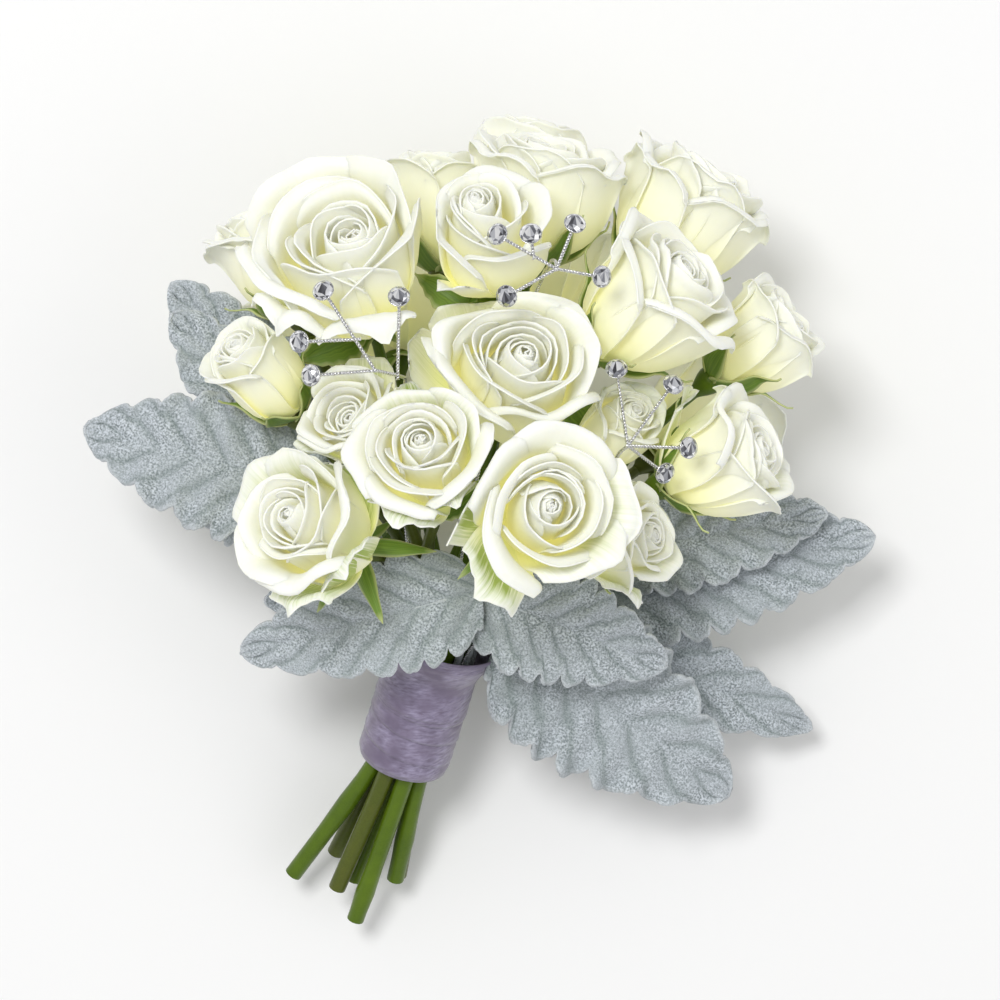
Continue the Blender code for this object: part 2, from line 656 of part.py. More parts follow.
def make_leaf(name, angle, root, tip, arch, width, lobes, roll, silver, collection):
    """A lobed felted leaf on its stalk, which is bound into the bundle."""
    root, tip = Vector(root) * MM, Vector(tip) * MM
    along = tip - root
    side = along.cross(Vector((0, 0, 1))).normalized()
    up = side.cross(along).normalized()
    side, up = (Matrix.Rotation(radians(roll), 3, along.normalized()) @ v for v in (side, up))
    rise = Vector((0, 0, 1)) * arch * MM
    spine = (root, root + along / 3 + rise * 1.2, root + along * 2 / 3 + rise, tip)

    def on_spine(t):
        t = t[:, None]
        a, b, c, d = (np.array(p) for p in spine)
        return a * (1 - t) ** 3 + b * 3 * t * (1 - t) ** 2 + c * 3 * t * t * (1 - t) + d * t**3

    def place(s, t):
        half = width / 2 * MM * leaf_outline(t, lobes)
        fold = 0.16 * np.abs(s) - 0.10 * np.abs(s) * np.sin(pi * lobes * t) ** 2
        lean = 0.30 * np.abs(s) * (1 - t)
        points = on_spine(t) + np.outer(s * half, side) + np.outer(fold * half, up)
        return points + np.outer(lean * half, along.normalized())

    blade = shaped_grid("blade", 2, 2 * lobes, place, LEAF_THICK, collection)
    bound = [round_handle(a * MM, STALK_RING_R, angle) for a in (-1, 34, 48)]
    leaving = bound[-1]
    bow = [
        leaving,
        leaving + (ALONG * 0.7 + (root - leaving).normalized()) * 6 * MM,
        root - (Vector(spine[1]) - root).normalized() * 7 * MM,
        root,
    ]
    rib = [Vector(p) for p in on_spine(np.array([0.10, 0.25]))]
    points = bound + bezier(bow, 3)[1:] + rib
    radii = [STALK_R] * (len(bound) + 3) + [0.9 * MM, 0.6 * MM]
    stalk = tube("stalk", points, radii, collection, roundness=0)
    made = fused(name, [blade, stalk], collection)
    made.data.materials.append(silver)
    return made


def stone(place, way, collection):
    """A faceted stone in its cup: a crown and a point, six-sided."""
    cut = bmesh.new()
    crown = 0.35 * STONE_HIGH
    bmesh.ops.create_cone(
        cut, cap_ends=True, segments=6, radius1=STONE_R, radius2=0.6 * STONE_R, depth=crown
    )
    bmesh.ops.translate(cut, verts=cut.verts, vec=(0, 0, crown / 2))
    low = min(cut.faces, key=lambda f: f.calc_center_median().z)
    bmesh.ops.poke(cut, faces=[low])
    middle = min(cut.verts, key=lambda v: (Vector((v.co.x, v.co.y)).length, v.co.z))
    middle.co.z = -0.65 * STONE_HIGH
    bmesh.ops.recalc_face_normals(cut, faces=cut.faces)
    turn = way.to_track_quat("Z", "Y").to_matrix()
    for vert in cut.verts:
        vert.co = place + turn @ vert.co
    mesh = bpy.data.meshes.new("stone")
    cut.to_mesh(mesh)
    cut.free()
    return add_object("stone", mesh, collection)


def make_wire_spray(name, angle, route, twigs, silver, collection):
    """A twisted wire bound into the bundle, which branches into twigs with a stone on each."""
    route = [Vector(p) * MM for p in route]
    points = [round_handle(a * MM, STALK_RING_R, angle) for a in (4, 36, 46)] + route
    pieces = [tube("wire", points, [WIRE_R] * len(points), collection, roundness=0)]
    for leaves_at, stone_at in twigs:
        start, end = Vector(leaves_at) * MM, Vector(stone_at) * MM
        way = (end - start).normalized()
        facing = (way + Vector((0, 0, 1.6))).normalized()
        ends = [start - way * 0.4 * MM, end - facing * 1.0 * MM]
        pieces.append(tube("twig", ends, [WIRE_R] * 2, collection, roundness=0))
        pieces.append(stone(end, facing, collection))
    made = fused(name, pieces, collection)
    made.data.materials.append(silver)
    return made


def make_turned(name, profile, sides, look, collection):
    """A ring round the handle's axis, turned from a closed profile of (radius, along)."""
    outline = bmesh.new()
    verts = [outline.verts.new((r, 0, a)) for r, a in profile]
    for a, b in zip(verts, verts[1:] + verts[:1]):
        outline.edges.new((a, b))
    mesh = bpy.data.meshes.new(name)
    outline.to_mesh(mesh)
    outline.free()
    made = add_object(name, mesh, collection)
    screw = made.modifiers.new("turn", "SCREW")
    screw.steps = screw.render_steps = sides
    screw.use_merge_vertices = True
    screw.merge_threshold = 0.01 * MM
    made.matrix_world = Matrix.Translation(FOOT) @ ALONG.to_track_quat("Z", "Y").to_matrix().to_4x4()
    made.data.materials.append(look)
    return made


def make_tape(look, collection):
    out_r = TAPE_IN_R + TAPE_THICK
    profile = [(out_r, TAPE_TO), (out_r, TAPE_FROM), (TAPE_IN_R, TAPE_FROM), (TAPE_IN_R, TAPE_TO)]
    return make_turned("binding_tape", profile, 14, look, collection)


def make_ribbon(look, collection):
    """The wound ribbon: a sleeve that flares towards the blooms, with a step at each turn."""

    def flare(along):
        return RIBBON_FLARE * smooth((along - TAPE_TO) / (RIBBON_TO - TAPE_TO))

    step = 0.35 * MM
    outer = []
    for i in range(RIBBON_TURNS, 0, -1):
        top, low = RIBBON_TO * i / RIBBON_TURNS, RIBBON_TO * (i - 1) / RIBBON_TURNS
        wall = RIBBON_IN_R + RIBBON_THICK
        outer += [(wall + float(flare(top)), top), (wall + step + float(flare(low)), low + 0.6 * MM)]
    inner = [(RIBBON_IN_R, 0), (RIBBON_IN_R, TAPE_TO + 1 * MM)]
    inner.append((RIBBON_IN_R + float(flare(RIBBON_TO)), RIBBON_TO))
    lip = (outer[-1][0] - 0.5 * MM, 0)
    return make_turned("ribbon", outer + [lip] + inner, 14, look, collection)


def centre_on_origin(collection):
    """Moves the whole bouquet so that the origin is under the middle of its box."""
    bpy.context.view_layer.update()
    corners = [o.matrix_world @ Vector(c) for o in collection.objects for c in o.bound_box]
    low = Vector(min(c[k] for c in corners) for k in range(3))
    high = Vector(max(c[k] for c in corners) for k in range(3))
    shift = Vector((-(low.x + high.x) / 2, -(low.y + high.y) / 2, 0))
    for obj in collection.objects:
        obj.location = obj.location + shift


def main():
    for obj in list(bpy.data.objects):
        bpy.data.objects.remove(obj)
    bouquet = new_collection("rose_bouquet")
    petal_white = material("petal_white", (0.86, 0.85, 0.70), 0.6)
    green = material("rose_green", (0.16, 0.26, 0.05), 0.5)
    silver_felt = material("silver_felt", (0.36, 0.40, 0.41), 0.9)
    satin = material("mauve_satin", (0.26, 0.21, 0.30), 0.35)
    tape = material("green_tape", (0.10, 0.20, 0.08), 0.6)
    silver = material("silver_wire", (0.80, 0.80, 0.82), 0.2, 1.0)
    blooms = [Bloom(name, *facts) for name, facts in BLOOMS.items()]
    plans = {name: stem_plan(*facts, blooms) for name, facts in STEMS.items()}
    bars = bars_of(plans)
    for bloom in blooms:
        bloom.settle(blooms, bars)
        make_bloom(bloom, petal_white, bouquet)
    for name, plan in plans.items():
        make_stem(name, plan, green, bouquet)
    for name, facts in LEAVES.items():
        make_leaf(name, *facts, silver_felt, bouquet)
    for name, facts in WIRES.items():
        make_wire_spray(name, *facts, silver, bouquet)
    make_tape(tape, bouquet)
    make_ribbon(satin, bouquet)
    centre_on_origin(bouquet)


main()
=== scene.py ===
"""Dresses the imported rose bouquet: petals, sepals, felted leaves, twisted wire, stones and ribbon.

Lengths are in metres. The plan of the bouquet (where each bloom, stem, leaf and wire goes) is
given in millimetres from the ribbon's lower end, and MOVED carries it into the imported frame.
"""

import json
from math import atan2, cos, pi, radians, sin

import bmesh
import bpy
import numpy as np
from mathutils import Matrix, Vector

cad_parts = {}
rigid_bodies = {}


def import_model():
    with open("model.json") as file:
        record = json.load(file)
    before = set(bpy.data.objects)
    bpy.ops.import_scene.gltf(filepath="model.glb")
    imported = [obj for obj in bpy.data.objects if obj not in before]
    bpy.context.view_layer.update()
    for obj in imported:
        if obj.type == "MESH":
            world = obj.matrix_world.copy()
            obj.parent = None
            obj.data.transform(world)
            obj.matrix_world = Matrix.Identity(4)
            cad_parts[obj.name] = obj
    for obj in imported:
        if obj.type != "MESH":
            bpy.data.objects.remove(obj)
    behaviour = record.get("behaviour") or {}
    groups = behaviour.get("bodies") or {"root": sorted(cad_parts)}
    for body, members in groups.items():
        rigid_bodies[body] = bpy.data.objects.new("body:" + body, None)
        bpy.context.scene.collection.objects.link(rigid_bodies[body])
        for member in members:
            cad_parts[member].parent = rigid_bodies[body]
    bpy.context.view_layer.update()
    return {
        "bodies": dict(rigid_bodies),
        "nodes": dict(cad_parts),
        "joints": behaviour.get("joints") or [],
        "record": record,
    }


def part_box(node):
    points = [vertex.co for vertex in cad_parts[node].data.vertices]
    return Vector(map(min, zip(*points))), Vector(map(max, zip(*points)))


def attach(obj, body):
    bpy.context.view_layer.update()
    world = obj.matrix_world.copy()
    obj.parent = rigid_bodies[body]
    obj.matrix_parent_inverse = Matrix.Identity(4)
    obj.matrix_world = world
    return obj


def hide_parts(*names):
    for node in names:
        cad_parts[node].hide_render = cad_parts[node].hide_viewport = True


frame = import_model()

MM = 0.001

# How the bouquet lies: the handle rises towards the blooms.
TILT = radians(26)
ACROSS, UP = Vector((1, 0, 0)), Vector((0, 0, 1))
ALONG = Vector((0, cos(TILT), sin(TILT)))
OUT = Vector((0, -sin(TILT), cos(TILT)))
FOOT = Vector((0, 0, 34.6)) * MM
FOCUS_AT = 52 * MM
ROLL = radians(18)  # from the bouquet's left-right axis to the photograph's

# The bundle inside the ribbon.
STEM_R, STEM_GAP, STEMS_ROUND, LAYER_GAP = 2.7 * MM, 0.35 * MM, 7, 0.3 * MM
RING_R = (2 * STEM_R + STEM_GAP) / (2 * sin(pi / STEMS_ROUND))
FIRST_STEM_ANGLE = 13
BRANCH_R, STALK_R, WIRE_R = 1.9 * MM, 1.1 * MM, 0.6 * MM
STALK_RING_R = RING_R + STEM_R + STEM_GAP + STALK_R
TAPE_FROM, TAPE_TO, TAPE_WIDE, TAPE_THICK = 14 * MM, 32 * MM, 12 * MM, 0.6 * MM
TAPE_IN_R = STALK_RING_R + STALK_R + LAYER_GAP
RIBBON_IN_R = TAPE_IN_R + TAPE_THICK + LAYER_GAP
RIBBON_THICK, RIBBON_TO, RIBBON_FLARE = 1.1 * MM, 46 * MM, 5.0 * MM

# The satin ribbon as it comes off its reel, and how it is wound.
RIBBON_WIDE, RIBBON_LAYER = 24 * MM, 0.30 * MM
RIBBON_RISING_TURNS, RIBBON_LEVEL_TURN = 4.0, 0.8

# Blooms. The first values are those of the solids, as the planes between blooms follow them.
PETAL_THICK = 0.9 * MM
CELL_GAP = 0.4 * MM
LAP, SHOWN = 0.045, 0.8
CENTRE_UP = 0.36
CALYX_R, CALYX_LONG = 4.4 * MM, 7.0 * MM
GOLDEN = radians(137.5)
PRESSED, SEAT = 1.0 * MM, 0.3 * MM
# What is made here alone: thickness of each sheet, and how fine the petals are.
PETAL_SHEET, SEPAL_SHEET, LEAF_SHEET = 0.5 * MM, 0.5 * MM, 0.9 * MM
SATIN_SHEET, CREPE_SHEET = 0.16 * MM, 0.09 * MM
FINE, COARSE = (20, 17, 1.8), (12, 10, 1.5)
SOFT = 0.12 * MM  # the bend of a petal where it meets a neighbour
LOWEST, ON_TABLE = 0.4 * MM, 0.02 * MM  # of a thin sheet's middle, and of anything
SEPALS = (-162, -90, -18, 54, 126)

# Blooms by their numbers. Each row: place of its middle in mm, width in mm, how far open,
# nudge of the way it faces in mm.
BLOOMS = {
    1: ((-62, 138, 112), 62, 1.00, (12, -34, 50)),
    2: ((-40, 163, 65), 44, 0.85),
    3: ((-19, 153, 112), 45, 0.85, (4, -26, 44)),
    4: ((-11, 175, 84), 50, 1.00, (0, 0, 10)),
    5: ((30, 181, 72), 53, 0.98, (8, 0, 10)),
    6: ((28, 152, 105), 54, 0.95, (34, -6, 8)),
    7: ((63, 154, 74), 42, 0.80, (8, 0, 10)),
    8: ((62, 116, 92), 46, 0.90, (10, -6, 6)),
    9: ((-4, 121, 115), 60, 1.00, (4, -36, 36)),
    10: ((-20, 91, 131), 46, 0.98, (0, -24, 0)),
    11: ((17, 85, 133), 51, 1.00, (0, -30, 0)),
    12: ((-44, 61, 116), 47, 0.95, (-6, -4, 8)),
    13: ((-45, 94, 110), 40, 0.90, (4, -20, 30)),
    14: ((-73, 98, 101), 38, 0.74, (-8, 0, 14)),
    15: ((-83, 132, 70), 42, 0.88),
    16: ((40, 86, 97), 39, 0.88, (14, -20, 8)),
    17: ((-20, 186, 50), 44, 0.90),
    18: ((30, 116, 94), 36, 0.80, (0, 0, 40)),
    19: ((-50, 134, 22), 48, 0.94),
    20: ((2, 158, 32), 46, 0.92),
    21: ((56, 128, 22), 48, 0.94),
    22: ((1, 110, 20), 42, 0.92),
    23: ((34, 74, 20), 42, 0.92),
    24: ((-35, 78, 20), 43, 0.92),
    25: ((-78, 102, 34), 44, 0.90),
}
RESTING = (19, 21, 23, 24)
HIDDEN = (17, 19, 20, 21, 22, 23, 24, 25)
LONG_SEPALS = (1, 3, 4, 6, 8, 9, 10, 11, 12, 13)
HUGGED = (2, 4, 5, 6, 7, 8, 14, 15, 16)  # by sepals that lie along the petals
SHORT = {1: 0.94, 17: 0.86}  # the petals' length, as a share of the others'
FRILLED = {4: 0.5, 5: 1.0, 7: 0.4, 15: 1.0}  # how uneven the rims are, where more than the others
# How far the heart of an unevenly open bloom leans, in mm.
HEARTS = {
    1: (11.0, -3.3, 0.0), 3: (-9.7, 2.0, 0.0), 4: (-4.1, -6.3, 5.0), 5: (-2.0, -3.0, 6.0),
    6: (-3.4, -2.6, 7.0), 7: (-3.0, -4.1, 6.0), 8: (-1.5, -3.8, 6.0), 9: (2.1, -2.9, 0.0),
    10: (1.5, -1.0, 0.0), 11: (-3.0, 1.1, 0.0), 12: (2.0, -1.0, 0.0), 13: (9.0, -5.0, 0.0),
}
# Guard petals outside a bloom: the way each lies on the photograph, in degrees from its right,
# and how far it has dropped from upright, in degrees.
GUARDS = {
    1: ((-70, 20), (-110, 10)), 3: ((-120, 30),), 8: ((160, 25),), 9: ((170, 30), (110, 40)),
    10: ((-60, 5), (-105, 12), (100, 40)), 11: ((-134, 22), (170, 30)),
    12: ((-40, 10), (-85, 16), (60, 30)), 13: ((-120, 10), (90, 40)), 16: ((-100, 8),),
}
# How green the guard petals are, and less so two of the outer petals.
GREEN = {8: 0.5, 9: 0.15, 10: 0.9, 11: 0.8, 12: 0.8, 13: 0.35, 14: 0.6, 16: 0.5, 18: 0.7}
# Small petals that fill the heart: the petal that each is like, and how far open it is.
HEART_PETALS = ((1, 0.035), (2, 0.10), (4, 0.22), (6, 0.345), (7, 0.45))
# How far open the petals are that show, from the heart outwards: a heart and two rings.
OPENNESS = (0.0, 0.07, 0.13, 0.19, 0.25, 0.31, 0.38, 0.51, 0.55, 0.59, 0.63, 0.67)
OPENNESS += (0.82, 0.86, 0.90, 0.95, 1.0)

# Stems: slot in the bundle, cut end (across, out, along, in mm), how far on it forks, its blooms.
STEMS = {
    "spray_middle": (None, (-3.0, -1.0, -48), 30, (3, 4, 6, 9)),
    "spray_right": (0, (9.5, -0.5, -43), 8, (7, 8)),
    "spray_upper_right": (1, (1.5, 8.5, -56), 22, (11, 16, 18)),
    "spray_upper_left": (2, (-7.0, 7.0, -48), 26, (10, 12, 13)),
    "stem_large_rose": (3, (-21.5, 4.0, -50), 20, (1,)),
    "spray_left": (4, (-11.0, -8.0, -45), 8, (2, 14, 15)),
    "spray_lower_left": (5, (-0.5, -12.2, -50), 6, (19, 22, 24, 25)),
    "spray_lower_right": (6, (10.0, -8.5, -46), 6, (5, 17, 20, 21, 23)),
}
OLIVE_STEMS = ("spray_upper_left", "spray_left", "spray_lower_right")
# How far along a stem it has a slight knot, and how much thicker it is there.
KNOTS = {"spray_right": 0.14, "stem_large_rose": 0.22, "spray_upper_right": 0.10, "spray_middle": 0.26}
KNOT_SWELL = 1.14
# Leaflets of the roses: the bloom whose branch it is on, how far along, tip and width in mm.
LEAFLETS = {
    1: (0.93, (-66, 105, 86), 13), 3: (0.93, (-41, 141, 88), 12),
    6: (0.86, (27, 110, 84), 12), 10: (0.57, (-1, 90, 96), 9),
}

# Leaves: stalk's angle round the bundle, blade's root and tip in mm, arch, width, lobes, roll.
LEAVES = {
    "leaf_left": (148, (-50, 71, 80), (-121, 67, 72), 6, 46, 7, 6),
    "leaf_left_upper": (186, (-55, 80, 70), (-107, 108, 68), 5, 36, 6, 0),
    "leaf_left_far": (200, (-56, 86, 56), (-112, 117, 50), 4, 36, 6, 0),
    "leaf_front_left": (99, (1, 54, 84), (-56, 17, 66), 11, 38, 7, -12),
    "leaf_front_right": (50, (13, 56, 80), (67, 53, 70), 8, 40, 7, 16),
    "leaf_right_low": (29, (21, 48, 61), (99, 20, 35), 7, 55, 7, 8),
    "leaf_right_upper": (0, (44, 82, 50), (100, 112, 53), 3, 34, 7, 0),
    "leaf_right": (-13.5, (40, 68, 44), (117, 110, 42), 4, 44, 8, 0),
    "leaf_right_far": (-27, (38, 54, 38), (119, 47, 18), 6, 32, 6, 0),
    "leaf_under_right": (-57.6, (26, 47, 29), (70, 38, 6), 5, 32, 5, 0),
    "leaf_under_left": (-109, (-25, 46, 28), (-56, 32, 9), 5, 24, 5, 0),
    "leaf_under_far_left": (-122, (-38, 60, 41), (-90, 57, 11), 5, 36, 6, 0),
}

# Wire sprays: angle of the wire round the bundle, its route in mm, and where each twig leaves
# the wire and ends at a stone.
WIRES = {
    "jewel_spray_left": (
        134,
        ((-30, 92, 88), (-33, 110, 104), (-33, 110, 130), (-41, 109, 138)),
        (((-41, 109, 138), (-58, 102, 139)), ((-41, 109, 138), (-62, 126, 140)),
         ((-48, 116, 139), (-64, 110, 141)), ((-34.5, 109, 131.5), (-41, 131, 141))),
    ),
    "jewel_spray_middle": (
        80,
        ((-5, 92, 83.2), (-7, 120, 86.2), (-4, 156, 100), (-2, 155, 132), (-1, 152, 142)),
        (((-1, 152, 142), (-12, 140, 148)), ((-1, 152, 142), (-20, 156, 145)),
         ((-1, 152, 142), (12, 154, 141)), ((-8, 153, 143), (-11, 159, 147)),
         ((-1, 152, 142), (0, 166, 142))),
    ),
    "jewel_spray_right": (
        39.5,
        ((20, 70, 74), (28, 98, 83), (33, 104, 98), (32, 108, 122), (34, 111, 127)),
        (((34, 111, 127), (24, 131, 131)), ((34, 111, 127), (41, 132, 126)),
         ((34, 111, 127), (51, 116, 124)), ((34, 111, 127), (47, 107, 120))),
    ),
}
STRAND_THICK, TWIST_LONG = 0.58 * MM, 1.9 * MM
STONE_R, STONE_HIGH = 3.0 * MM, 3.6 * MM


def smooth(x):
    x = np.clip(x, 0.0, 1.0)
    return x * x * (3 - 2 * x)


def spread(shares, vector):
    """The vector times each of the shares."""
    return np.multiply.outer(shares, np.array(vector))


def at_handle(along, across=0.0, out=0.0):
    """A point of the handle: along its axis from the ribbon's lower end, and off the axis."""
    return FOOT + ALONG * along + ACROSS * across + OUT * out


def round_handle(along, radius, angle):
    return at_handle(along, radius * cos(radians(angle)), radius * sin(radians(angle)))


tape_box = [Vector(corner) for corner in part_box("binding_tape")]
MOVED = (tape_box[0] + tape_box[1]) / 2 - at_handle((TAPE_FROM + TAPE_TO) / 2)


def cubic(ends, t):
    """A point of the cubic Bezier curve of four points."""
    a, b, c, d = ends
    return a * (1 - t) ** 3 + b * 3 * t * (1 - t) ** 2 + c * 3 * t * t * (1 - t) + d * t**3


def bezier(ends, steps):
    return [cubic(ends, i / steps) for i in range(steps + 1)]


def rounded(points):
    """The way through the points with its corners cut, twice over."""
    for _ in range(2):
        cut = [p for a, b in zip(points, points[1:]) for p in (a.lerp(b, 0.25), a.lerp(b, 0.75))]
        points = [points[0], *cut, points[-1]]
    return points


# ---- Pieces ----


def add_object(name, data):
    made = bpy.data.objects.new(name, data)
    bpy.context.scene.collection.objects.link(made)
    return made


def from_shape(name, shape, *looks):
    """An object with the mesh of the shape."""
    mesh = bpy.data.meshes.new(name)
    shape.to_mesh(mesh)
    shape.free()
    for look in looks:
        mesh.materials.append(look)
    return add_object(name, mesh)


def applied(obj):
    """The object with its modifiers made into plain mesh."""
    bpy.context.view_layer.update()
    graph = bpy.context.evaluated_depsgraph_get()
    mesh = bpy.data.meshes.new_from_object(obj.evaluated_get(graph))
    obj.modifiers.clear()
    old, obj.data = obj.data, mesh
    bpy.data.meshes.remove(old)
    return obj


def joined(name, objects):
    """One object with the meshes of several, which are removed. Their materials come along."""
    looks = []
    whole = bmesh.new()
    for obj in objects:
        first = len(whole.faces)
        whole.from_mesh(obj.data)
        whole.faces.ensure_lookup_table()
        own = list(obj.data.materials)
        looks += [look for look in own if look not in looks]
        for face in whole.faces[first:]:
            face.material_index = looks.index(own[face.material_index])
    made = from_shape(name, whole, *looks)
    for obj in objects:
        bpy.data.objects.remove(obj)
    return made


def finished(obj, node):
    """Hands the piece to the frame: it is fixed to the root body and stands for the node, whose
    part is hidden. Where it lies on the table it is flattened, so that nothing goes below."""
    places = np.empty(len(obj.data.vertices) * 3)
    obj.data.vertices.foreach_get("co", places)
    places[2::3] = np.maximum(places[2::3], ON_TABLE)
    obj.data.vertices.foreach_set("co", places)
    obj.data.update()
    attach(obj, "root")
    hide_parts(node)
    return obj


class Blades:
    """Thin blades gathered into one mesh. Each is a grid of points, with where a point lies on
    its blade as one UV map and, as another, how far a petal is open or the painted shade in a
    leaf's grooves, and the blade's greenness."""

    def __init__(self):
        self.points, self.faces, self.cut, self.kind = [], [], [], []
        self.count = 0

    def add(self, points, s, t, age_or_shade=0.0, green=0.0):
        index = np.arange(s.size).reshape(s.shape) + self.count
        quads = index[:-1, :-1], index[:-1, 1:], index[1:, 1:], index[1:, :-1]
        self.faces.append(np.stack([q.ravel() for q in quads], -1))
        self.points.append(np.reshape(points, (-1, 3)))
        self.cut.append(np.stack([s.ravel() / 2 + 0.5, t.ravel()], -1))
        self.kind.append(np.stack([np.broadcast_to(k, s.shape).ravel() for k in (age_or_shade, green)], -1))
        self.count += s.size

    def object(self, name, thick, look):
        faces = np.concatenate(self.faces)
        mesh = bpy.data.meshes.new(name)
        mesh.from_pydata(np.concatenate(self.points) + np.array(MOVED), [], faces)
        for title, values in (("blade", self.cut), ("kind", self.kind)):
            layer = mesh.uv_layers.new(name=title)
            layer.data.foreach_set("uv", np.concatenate(values)[faces.ravel()].ravel())
        mesh.materials.append(look)
        made = add_object(name, mesh)
        shell = made.modifiers.new("thickness", "SOLIDIFY")
        shell.thickness, shell.offset = thick, 0
        applied(made)
        made.data.shade_smooth()
        return made


def grid(columns, rows, bunch=1.0):
    """(s, t) of a blade's points: s from -1 to 1 across, t from 0 to 1, closer near the rim."""
    up = 1 - (1 - np.linspace(0, 1, rows + 1)) ** bunch
    return np.meshgrid(np.linspace(-1, 1, columns + 1), up)


# ---- Blooms ----


def squeeze(points, middle, normal, room, far):
    """Draws in what lies on one side of the middle, so that what was far off just fits the room."""
    off = (points - middle) @ normal
    more = far / room - 1
    share = np.maximum(off, 0) / far
    drawn = np.where(off > 0, room * (1 + more) * share / (1 + more * share), off)
    return points + np.outer(drawn - off, normal)


def press(points, normal, at):
    """Points past a plane are pressed back to it, with a soft bend."""
    past = (points - at) @ normal
    pressed = -SOFT * np.logaddexp(0, -past / SOFT)
    return points + np.outer(pressed - past, normal)


def rolled_back(o, s, t):
    """How far the sides of a petal roll back near its rim."""
    return o**1.5 * np.clip(np.abs(s) - 0.45, 0, 1) ** 1.6 * smooth((t - 0.45) / 0.55)


class Bloom:
    """Where a bloom sits, the way it faces and the form of its petals, as in the solids."""

    PETALS = 17

    def __init__(self, number, middle, width, opened, nudge=(0, 0, 0)):
        self.number = number
        self.name = f"rose_{number:02}"
        self.middle = Vector(middle) * MM
        self.girth = width * MM
        self.width = 1.08 * self.girth
        self.opened = opened
        self.facing = (self.middle - at_handle(FOCUS_AT) + Vector(nudge) * MM).normalized()
        self.base = self.middle - self.facing * CENTRE_UP * self.width
        self.turn = self.facing.to_track_quat("Z", "Y").to_matrix()
        self.draws = np.random.default_rng(number)
        self.petals = [self.petal(i) for i in range(self.PETALS)]

    def petal(self, i):
        """The form of petal i, counted from the heart outwards."""
        o = self.opened * (i / (self.PETALS - 1)) ** 0.9
        draw = self.draws
        return dict(
            o=o,
            turn=i * GOLDEN + draw.normal(0, 0.08),
            shut=draw.normal(0, 2) * o,
            rim=draw.normal(0, 9) * o,
            phase=draw.uniform(0, 2 * pi),
            roll=draw.uniform(0.6, 1.3),
        )

    def midline(self, form):
        """(share, radius, height, slope) down the middle of a petal, from its root to its rim."""
        o, width = form["o"], self.width
        share = np.linspace(0, 1, 61)
        start = 74 - 50 * o**0.7
        belly = 98 - 14 * o**1.4 + form["shut"]
        rim = 104 - 105 * o**2 + form["rim"] + form.get("closed", 0.0)
        slope = start + (belly - start) * smooth(share / 0.56)
        slope = np.radians(slope + (rim - belly) * smooth((share - 0.66) / 0.34))
        step = width * (0.74 + 0.10 * o) * share[1]
        radius = width * (0.035 + 0.02 * o) + np.concatenate([[0], np.cumsum(np.cos(slope[:-1]) * step)])
        height = np.concatenate([[0], np.cumsum(np.sin(slope[:-1]) * step)])
        return share, np.maximum(radius, 0.004 * width), height, slope

    def whorl(self, forms, s, t):
        """Points of a ring of the solids' petals, which overlap edge on edge."""
        made = []
        turns = [form["turn"] % (2 * pi) for form in forms]
        ahead = [(b - a) % (2 * pi) / 2 for a, b in zip(turns, turns[1:] + turns[:1])]
        for form, turn, before, after in zip(forms, turns, ahead[-1:] + ahead[:-1], ahead):
            share, radius, height, _ = self.midline(form)
            reach = t * (1 - 0.07 * np.abs(s) ** 2.3)
            back = rolled_back(form["o"], s, t)
            out = np.interp(reach, share, radius) * (1 + LAP * s) + 0.10 * self.width * back
            up = np.interp(reach, share, height) - 0.06 * self.width * back
            angle = turn + np.where(s < 0, s * before, s * after * SHOWN)
            made.append(np.stack([out * np.cos(angle), out * np.sin(angle), up], -1))
        return np.concatenate(made)

    def placed(self, points):
        """Points of the bloom's own frame, in the bouquet."""
        return points @ np.array(self.turn).T + np.array(self.base)

    def settle(self, blooms, bars):
        """Works out how the neighbours, the stems, the wires and the table squeeze this bloom."""
        self.walls, self.squeezes = self.planes(blooms, bars), []
        s = np.linspace(-1, 1, 7)
        outer = sorted(self.petals[12:17], key=lambda form: form["turn"] % (2 * pi))
        reach = self.placed(np.concatenate([self.whorl(outer, s, t) for t in np.linspace(0.2, 1, 9)]))
        middle = np.array(self.middle)
        for normal, at in self.walls * 2:
            room, far = (at - middle) @ normal, ((reach - middle) @ normal).max()
            if far > room:
                self.squeezes.append((normal, room, far))
                reach = squeeze(reach, middle, normal, room, far)

    def planes(self, blooms, bars):
        """The planes that bound the bloom: (normal, a point on the plane)."""
        found = []
        keep = CELL_GAP / 2 + PETAL_THICK / 2
        for other in blooms:
            apart = other.middle - self.middle
            gap = apart.length
            if other is self or gap > 0.75 * (self.width + other.width):
                continue
            share = (gap**2 + (self.girth / 2) ** 2 - (other.girth / 2) ** 2) / (2 * gap)
            normal = apart / gap
            found.append((normal, self.middle + normal * (share - keep)))
        for start, end, radius, owner in bars:
            along = (end - start).normalized()
            nearest = start + along * min(max((self.middle - start).dot(along), 0), (end - start).length)
            apart = nearest - self.middle
            if owner is not self and apart.length < 0.75 * self.width:
                normal = apart.normalized()
                found.append((normal, nearest - normal * (radius + 0.2 * MM + keep)))
        low = -PRESSED if self.number in RESTING else 1.2 * MM
        found = [(np.array(normal), np.array(at)) for normal, at in found]
        return found + [(np.array((0.0, 0.0, -1.0)), np.array((self.middle.x, self.middle.y, low)))]

    def squeezed(self, points, off=0.0):
        """The points, moved clear of the neighbouring blooms, the wires and the table."""
        for facts in self.squeezes:
            points = squeeze(points, np.array(self.middle), *facts)
        return self.pressed(points, off)

    def pressed(self, points, off=0.0):
        for normal, at in self.walls:
            points = press(points, normal, at + normal * off)
        points[:, 2] = np.maximum(points[:, 2], LOWEST)
        return points

